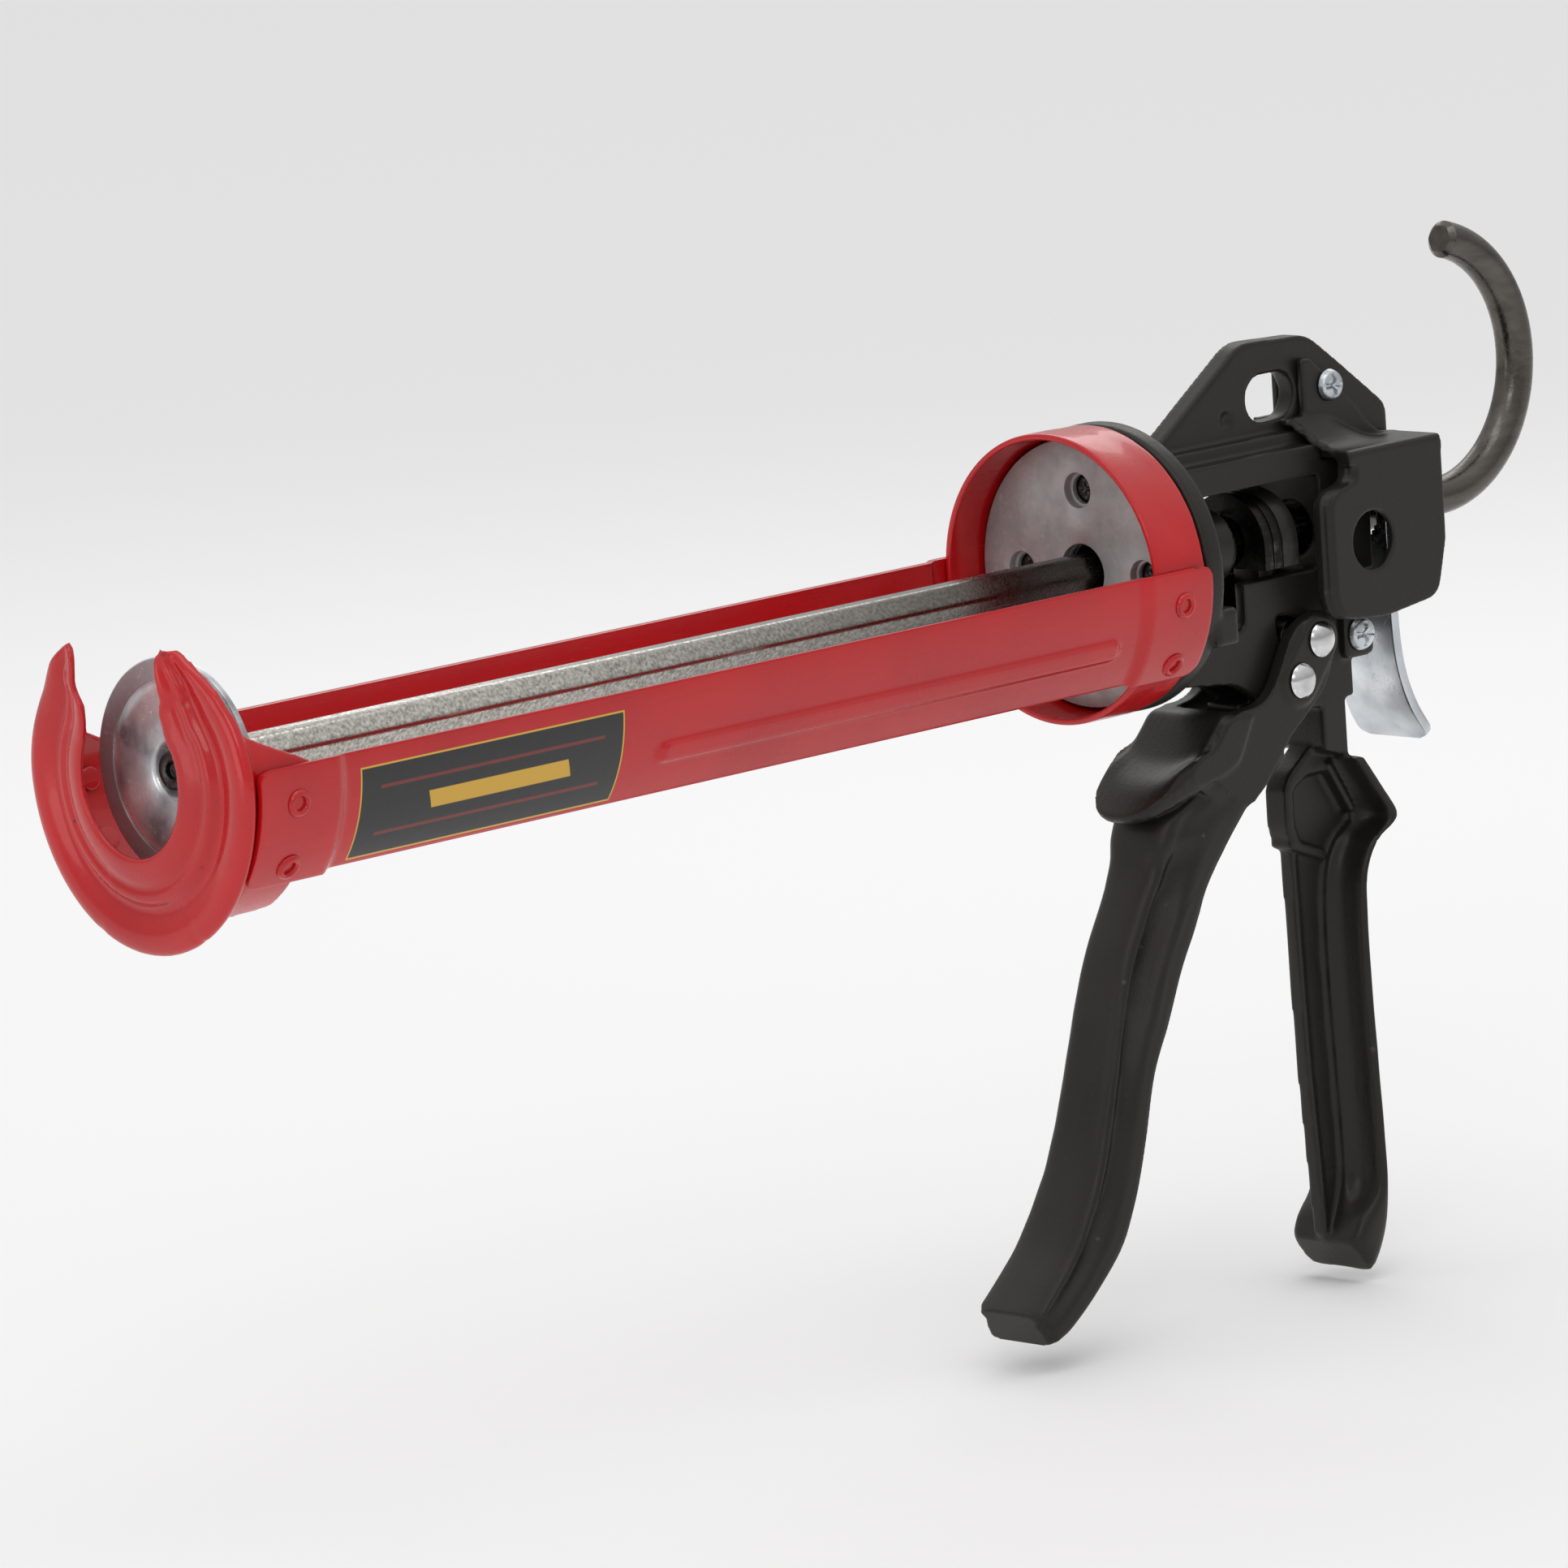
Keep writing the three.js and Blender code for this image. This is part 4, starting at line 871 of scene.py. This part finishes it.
cover_slices = 64
cover_start, cover_end = 280.2, 311.7
tab_start = 285.4
cover_wall, sweep_lift = 1.4, 6.4
lip_levels = ((13.5, 15.0, 0.0, 0.5), (12.4, 14.4, 1.0, 0.3), (11.2, 13.3, 1.7, 0.2))
for side, side_name in ((-1, "left"), (1, "right")):
    cover = bmesh.new()
    hole = circle(5.6, 64, 291, -2.5)
    for near, far, ahead, edge in lip_levels:
        side_rim = moved_rim([
            (48.3 - ahead, -16.5, 6), (62, -17.6, 2), (77, -15.8, 3), (80, -5, 1.5), (80, 13.4),
            (55.8 - ahead, 13.4), (55.8 - ahead, 9.4, 3), (48.3 - ahead, 7.6, 3.4)])
        holes = [hole]
        if ahead:
            holes = [moved_rim([
                (50.4 - ahead, -14.3, 5), (62, -15.6, 2), (75.8, -14, 3), (78.4, -5, 1.5), (78.4, 11.6),
                (57.6, 11.6), (57.6, 8.4, 2), (50.4 - ahead, 5.8, 3)])]
        soften(cover, plate(cover, side_rim, holes, "Y", *sorted((side * near, side * far))), edge)
    step = (cover_end - cover_start) / cover_slices
    for k in range(cover_slices):
        x = cover_start + k * step
        top = cover_height(x + 0.5)
        lift = min(sweep_lift * (1 - ease(x, 288, 304)), cover_height(max(x, 288)) - cover_top)
        reach = 15 if x > tab_start + 0.2 else 4.2 + (x - cover_start) * 1.3
        steps = [min(y, reach) for y in (12.4, 11.4, 10.4, 9.2, 8.0, 6.8, 5.6, 4.9, 4.2)]
        sweep = [(y, cover_top + lift * ((13 - min(y, 13)) / 8.8) ** 2)
                 for y in steps if y < reach or y == 4.2]
        if x > tab_start:
            path = [(15, 12.2), (15, cover_top, 2.2), *sweep, (4.15, top), (2.6, top)]
            under = [(2.6, 13.7), (13.5, 13.7, 0.8), (13.5, 12.2)]
        else:
            path = [(reach, sweep[0][1]), *sweep[1:], (2.6, sweep[-1][1])]
            lower = [(y, z - cover_wall) for y, z in reversed(sweep)]
            under = [(2.6, lower[0][1]), *lower[:-1], (reach, lower[-1][1])]
        slice_rim = [(side * p.x, p.y) for p in rounded(path + under, 6)]
        plate(cover, slice_rim, [], "X", x - 0.1, min(x + step + 0.1, cover_end))
    inner_wall = box_rim(side * 10 - 4.6, side * 10 + 4.6, -5.5, 14, 1)
    soften(cover, plate(cover, inner_wall, [], "X", 310.2, 311.7), 0.4)
    cover_piece = fit_piece(f"cover_{side_name}_pressing", cover, "frame", black_coat,
                            [f"cover_{side_name}"])
    flow_together(cover_piece, 0.0003, 11)


# --- Trigger ------------------------------------------------------------------------------
# An aluminium casting in the same black coat: two arms with raised bosses round the rivets, a
# finger lobe in front, and a crowned grip with hollows down its sides.
trigger = bmesh.new()


def forge(rim, holes, start, end, edge=0.8):
    soften(trigger, plate(trigger, rim, holes, "Y", start, end), edge)


arm_rim = [
    (22, -30.5, 4), (33, -30, 6), (41, -16.5, 6), (50.0, -14.2, 5), (53.4, -19.5, 4), (49, -29, 3),
    (43.5, -33.5, 3), (38.5, -37, 2), (30.6, -45.6, 2), (26.5, -48.4, 1), (18.6, -44.0), (14.6, -39.6, 1),
    (16.0, -38.2)]
boss_rim = []
for spot, angle0 in ((upper_pin, -math.radians(40)), (pivot, math.radians(140))):
    boss_rim += [(spot.x + 5.1 * math.cos(angle0 + k * math.pi / 12),
                  spot.y + 5.1 * math.sin(angle0 + k * math.pi / 12)) for k in range(13)]
for side in (-1, 1):
    near, far = side * 7.3, side * 10.3
    forge(moved_rim(arm_rim), [circle(2.2, 20, *pivot), circle(2.2, 20, *upper_pin)], *sorted((near, far)))
    forge(boss_rim, [circle(2.2, 20, *pivot), circle(2.2, 20, *upper_pin)], *sorted((near, side * 11)), 0.6)
neck_rim = [(12, -43, 1), (19.4, -34.4, 1), (33, -36.4, 4), (38, -39.9, 3), (30.5, -46, 2), (24, -50, 3)]
forge(moved_rim(neck_rim), [], -9.6, 9.6, 0.8)

# The finger tongue: thin slices across the gun, each cut back where the rounded end is.
tongue_rim = [
    (-0.8, -47.0, 2), (4.4, -42.0, 4), (12.2, -38.4, 4), (15.6, -35.4, 2), (21.0, -30.2, 2), (27.0, -31.0),
    (20.0, -41.0, 3), (13.2, -44.6, 3), (5.0, -48.0, 2), (0.8, -48.6, 1.5)]
tongue_way = Vector((21.8, 16.8)).normalized()
tongue_reach = 27.5
tongue_slices, tongue_half, rounding_depth = 44, 10.6, 16.5
for k in range(tongue_slices):
    y0 = tongue_half * (2 * k / tongue_slices - 1)
    off = abs(y0 + tongue_half / tongue_slices) / 10.62
    back = rounding_depth * (1 - math.sqrt(1 - off ** 2.6)) - 0.2
    lip = 1.1 * ease(off, 0.8, 1)
    slice_rim = []
    for u, v, *fillet in tongue_rim:
        share = ((u + 0.8) * tongue_way.x + (v + 47.0) * tongue_way.y) / tongue_reach
        shift = back * max(1 - share, 0)
        spot = Vector((u + 0.6 * lip, v - 0.8 * lip)) + tongue_way * shift
        slice_rim.append((*spot, *fillet))
    plate(trigger, moved_rim(slice_rim), [], "Y", y0, y0 + 2 * tongue_half / tongue_slices + 0.1)

grip_stations = [
    (-38.2, -134.6, -34.5, -141), (-33.2, -130.0, -29.0, -138.7), (-27.2, -124.0, -21.5, -133.3),
    (-22.6, -117.0, -14.2, -126.3), (-18.6, -109.6, -9.6, -118), (-14.8, -99, -6.0, -107.5),
    (-11.2, -87.5, -2.6, -95.8), (-8.8, -79.0, 2.4, -86.2), (-5.8, -71.3, 6.9, -77.0), (-1.6, -64, 11, -70.2),
    (1.8, -57.8, 15.6, -61.6), (3.4, -52.6, 21.0, -54.6), (6.0, -48.0, 26.0, -49.2),
    (13.0, -43.6, 30.4, -45.0), (17.0, -40.2, 34.0, -41.2)]
hollow = [0.5, 1.15, 1.25, 1.0, 0.6, 0.4, 0.45, 0.75, 1.15, 1.35, 1.2, 0.6, 0.0, 0.0, 0.0]
ridge = [8.4, 8.3, 8.1, 7.8, 7.4, 7.0, 6.8, 6.6, 6.4, 6.2, 6.2, 6.6, 7.6, 8.6, 9.2]


def between(values, share):
    """A smooth value along a list of numbers, at a share from 0 to 1."""
    at = share * (len(values) - 1)
    low = min(int(at), len(values) - 2)
    return values[low] + (values[low + 1] - values[low]) * ease(at - low, 0, 1)


def grip_half(share):
    depth, crest = between(hollow, share), between(ridge, share)
    rear = 8.6 + 1.2 * ease(share, 0.74, 0.9)
    valley = crest - 2.2 * depth + 0.6 * (1 - depth)
    end = 0.86 if share in (0, 1) else 1.0
    half = [(0.0, 0.0), (0.005, crest * 0.4), (0.03, crest * 0.72), (0.09, crest - 0.5), (0.155, crest),
            (0.22, crest - 0.35 * depth), (0.32, valley), (0.45, valley + 0.42 * (rear - valley)),
            (0.60, rear - 0.2), (0.75, rear), (0.93, rear), (0.995, rear - 1.2), (1.0, rear - 3.2),
            (1.0, 0.0)]
    return [(q, w * end) for q, w in half]


loft(trigger, handle_rings(grip_stations, 76, grip_half))
trigger_piece = fit_piece("trigger_casting", trigger, "trigger", black_coat, ["trigger"])
flow_together(trigger_piece, 0.00038, 2)

# --- Drive block, grip plates and springs -------------------------------------------------
# An arched black block and two hard steel plates ride on the rod; a coil spring in the boss
# returns them, and a second one keeps the release lever back.
arch = [(-10, -5), (10, -5)] + [(10 * math.cos(k * math.pi / 24), -0.7 + 10 * math.sin(k * math.pi / 24))
                                for k in range(25)]
drive_block = bmesh.new()
soften(drive_block, plate(drive_block, arch, [circle(4.9, 32)], "X", 271.0, 275.3), 0.5)
soften(drive_block, plate(drive_block, box_rim(-3.3, 3.3, -23, -4.6), [], "X", 271.0, 275.3), 0.5)
fit_piece("drive_block_casting", drive_block, "driver", black_coat, ["drive_block"])
blued_steel = surface(
    "blued_steel", (0.03, 0.028, 0.026), (0.018, 0.017, 0.016), (0.2, 0.19, 0.18), (0.3, 0.5), 1,
    (0.2, 0.0001), (220, 2400, 0.55, 0.2))
for number, x in ((1, 266.0), (2, 268.5)):
    grip_plate = bmesh.new()
    soften(grip_plate, plate(grip_plate, arch, [circle(4.9, 32)], "X", x, x + 2.2), 0.3)
    fit_piece(f"grip_plate_{number}_blank", grip_plate, "driver", blued_steel,
              [f"grip_plate_{number}"])
for spring_name, start, end, turns, body in (
        ("drive_spring", 238.6, 265.7, 7, "driver"), ("release_spring", 293.6, 301.2, 3, "release")):
    coil = bmesh.new()
    wire = bmesh.ops.create_circle(coil, segments=10, radius=0.5, cap_ends=True)["verts"]
    for corner in wire:
        corner.co = Vector((start + 0.5 + corner.co.x, 0, 5.4 + corner.co.y))
    bmesh.ops.spin(coil, geom=coil.faces[:] + coil.edges[:] + coil.verts[:], cent=(0, 0, 0), axis=(1, 0, 0),
                   angle=2 * math.pi * turns, steps=turns * 28, dvec=((end - start - 1) / (turns * 28), 0, 0))
    fit_piece(spring_name + "_coil", coil, body, blued_steel, [spring_name])


# --- Release lever ------------------------------------------------------------------------
# A zinc-plated steel blade behind the frame, pressed with the thumb, curving back to a flared tip.
blade_line = flowing([
    (302.4, 11.9), (302.4, -8), (302.5, -20), (303.4, -29), (306.0, -37.6), (310.3, -44.6)], 60)
blade_length, blade_corner = 58, 2.6


def blade_place(along, across):
    spot = blade_line[min(round(along * 59), 59)]
    half = 8 + 0.9 * ease(along, 0.7, 1) - 0.8 * (1 - ease(along, 0, 0.06))
    left = (1 - along) * blade_length
    if left < blade_corner:
        half -= blade_corner - math.sqrt(max(blade_corner ** 2 - (blade_corner - left) ** 2, 0))
    return Vector((spot.x, (2 * across - 1) * half, spot.y))


blade = pressed_sheet(59, 24, blade_place)
rod_gap = [f for f in blade.faces if math.hypot(f.calc_center_median().y, f.calc_center_median().z) < 5.2]
bmesh.ops.delete(blade, geom=rod_gap, context="FACES")
lever = fit_piece("release_lever_blade", blade, "release", zinc, ["release_lever"])
thicken(lever, 0.002, 0.0004, (0.4, 0, -0.02))
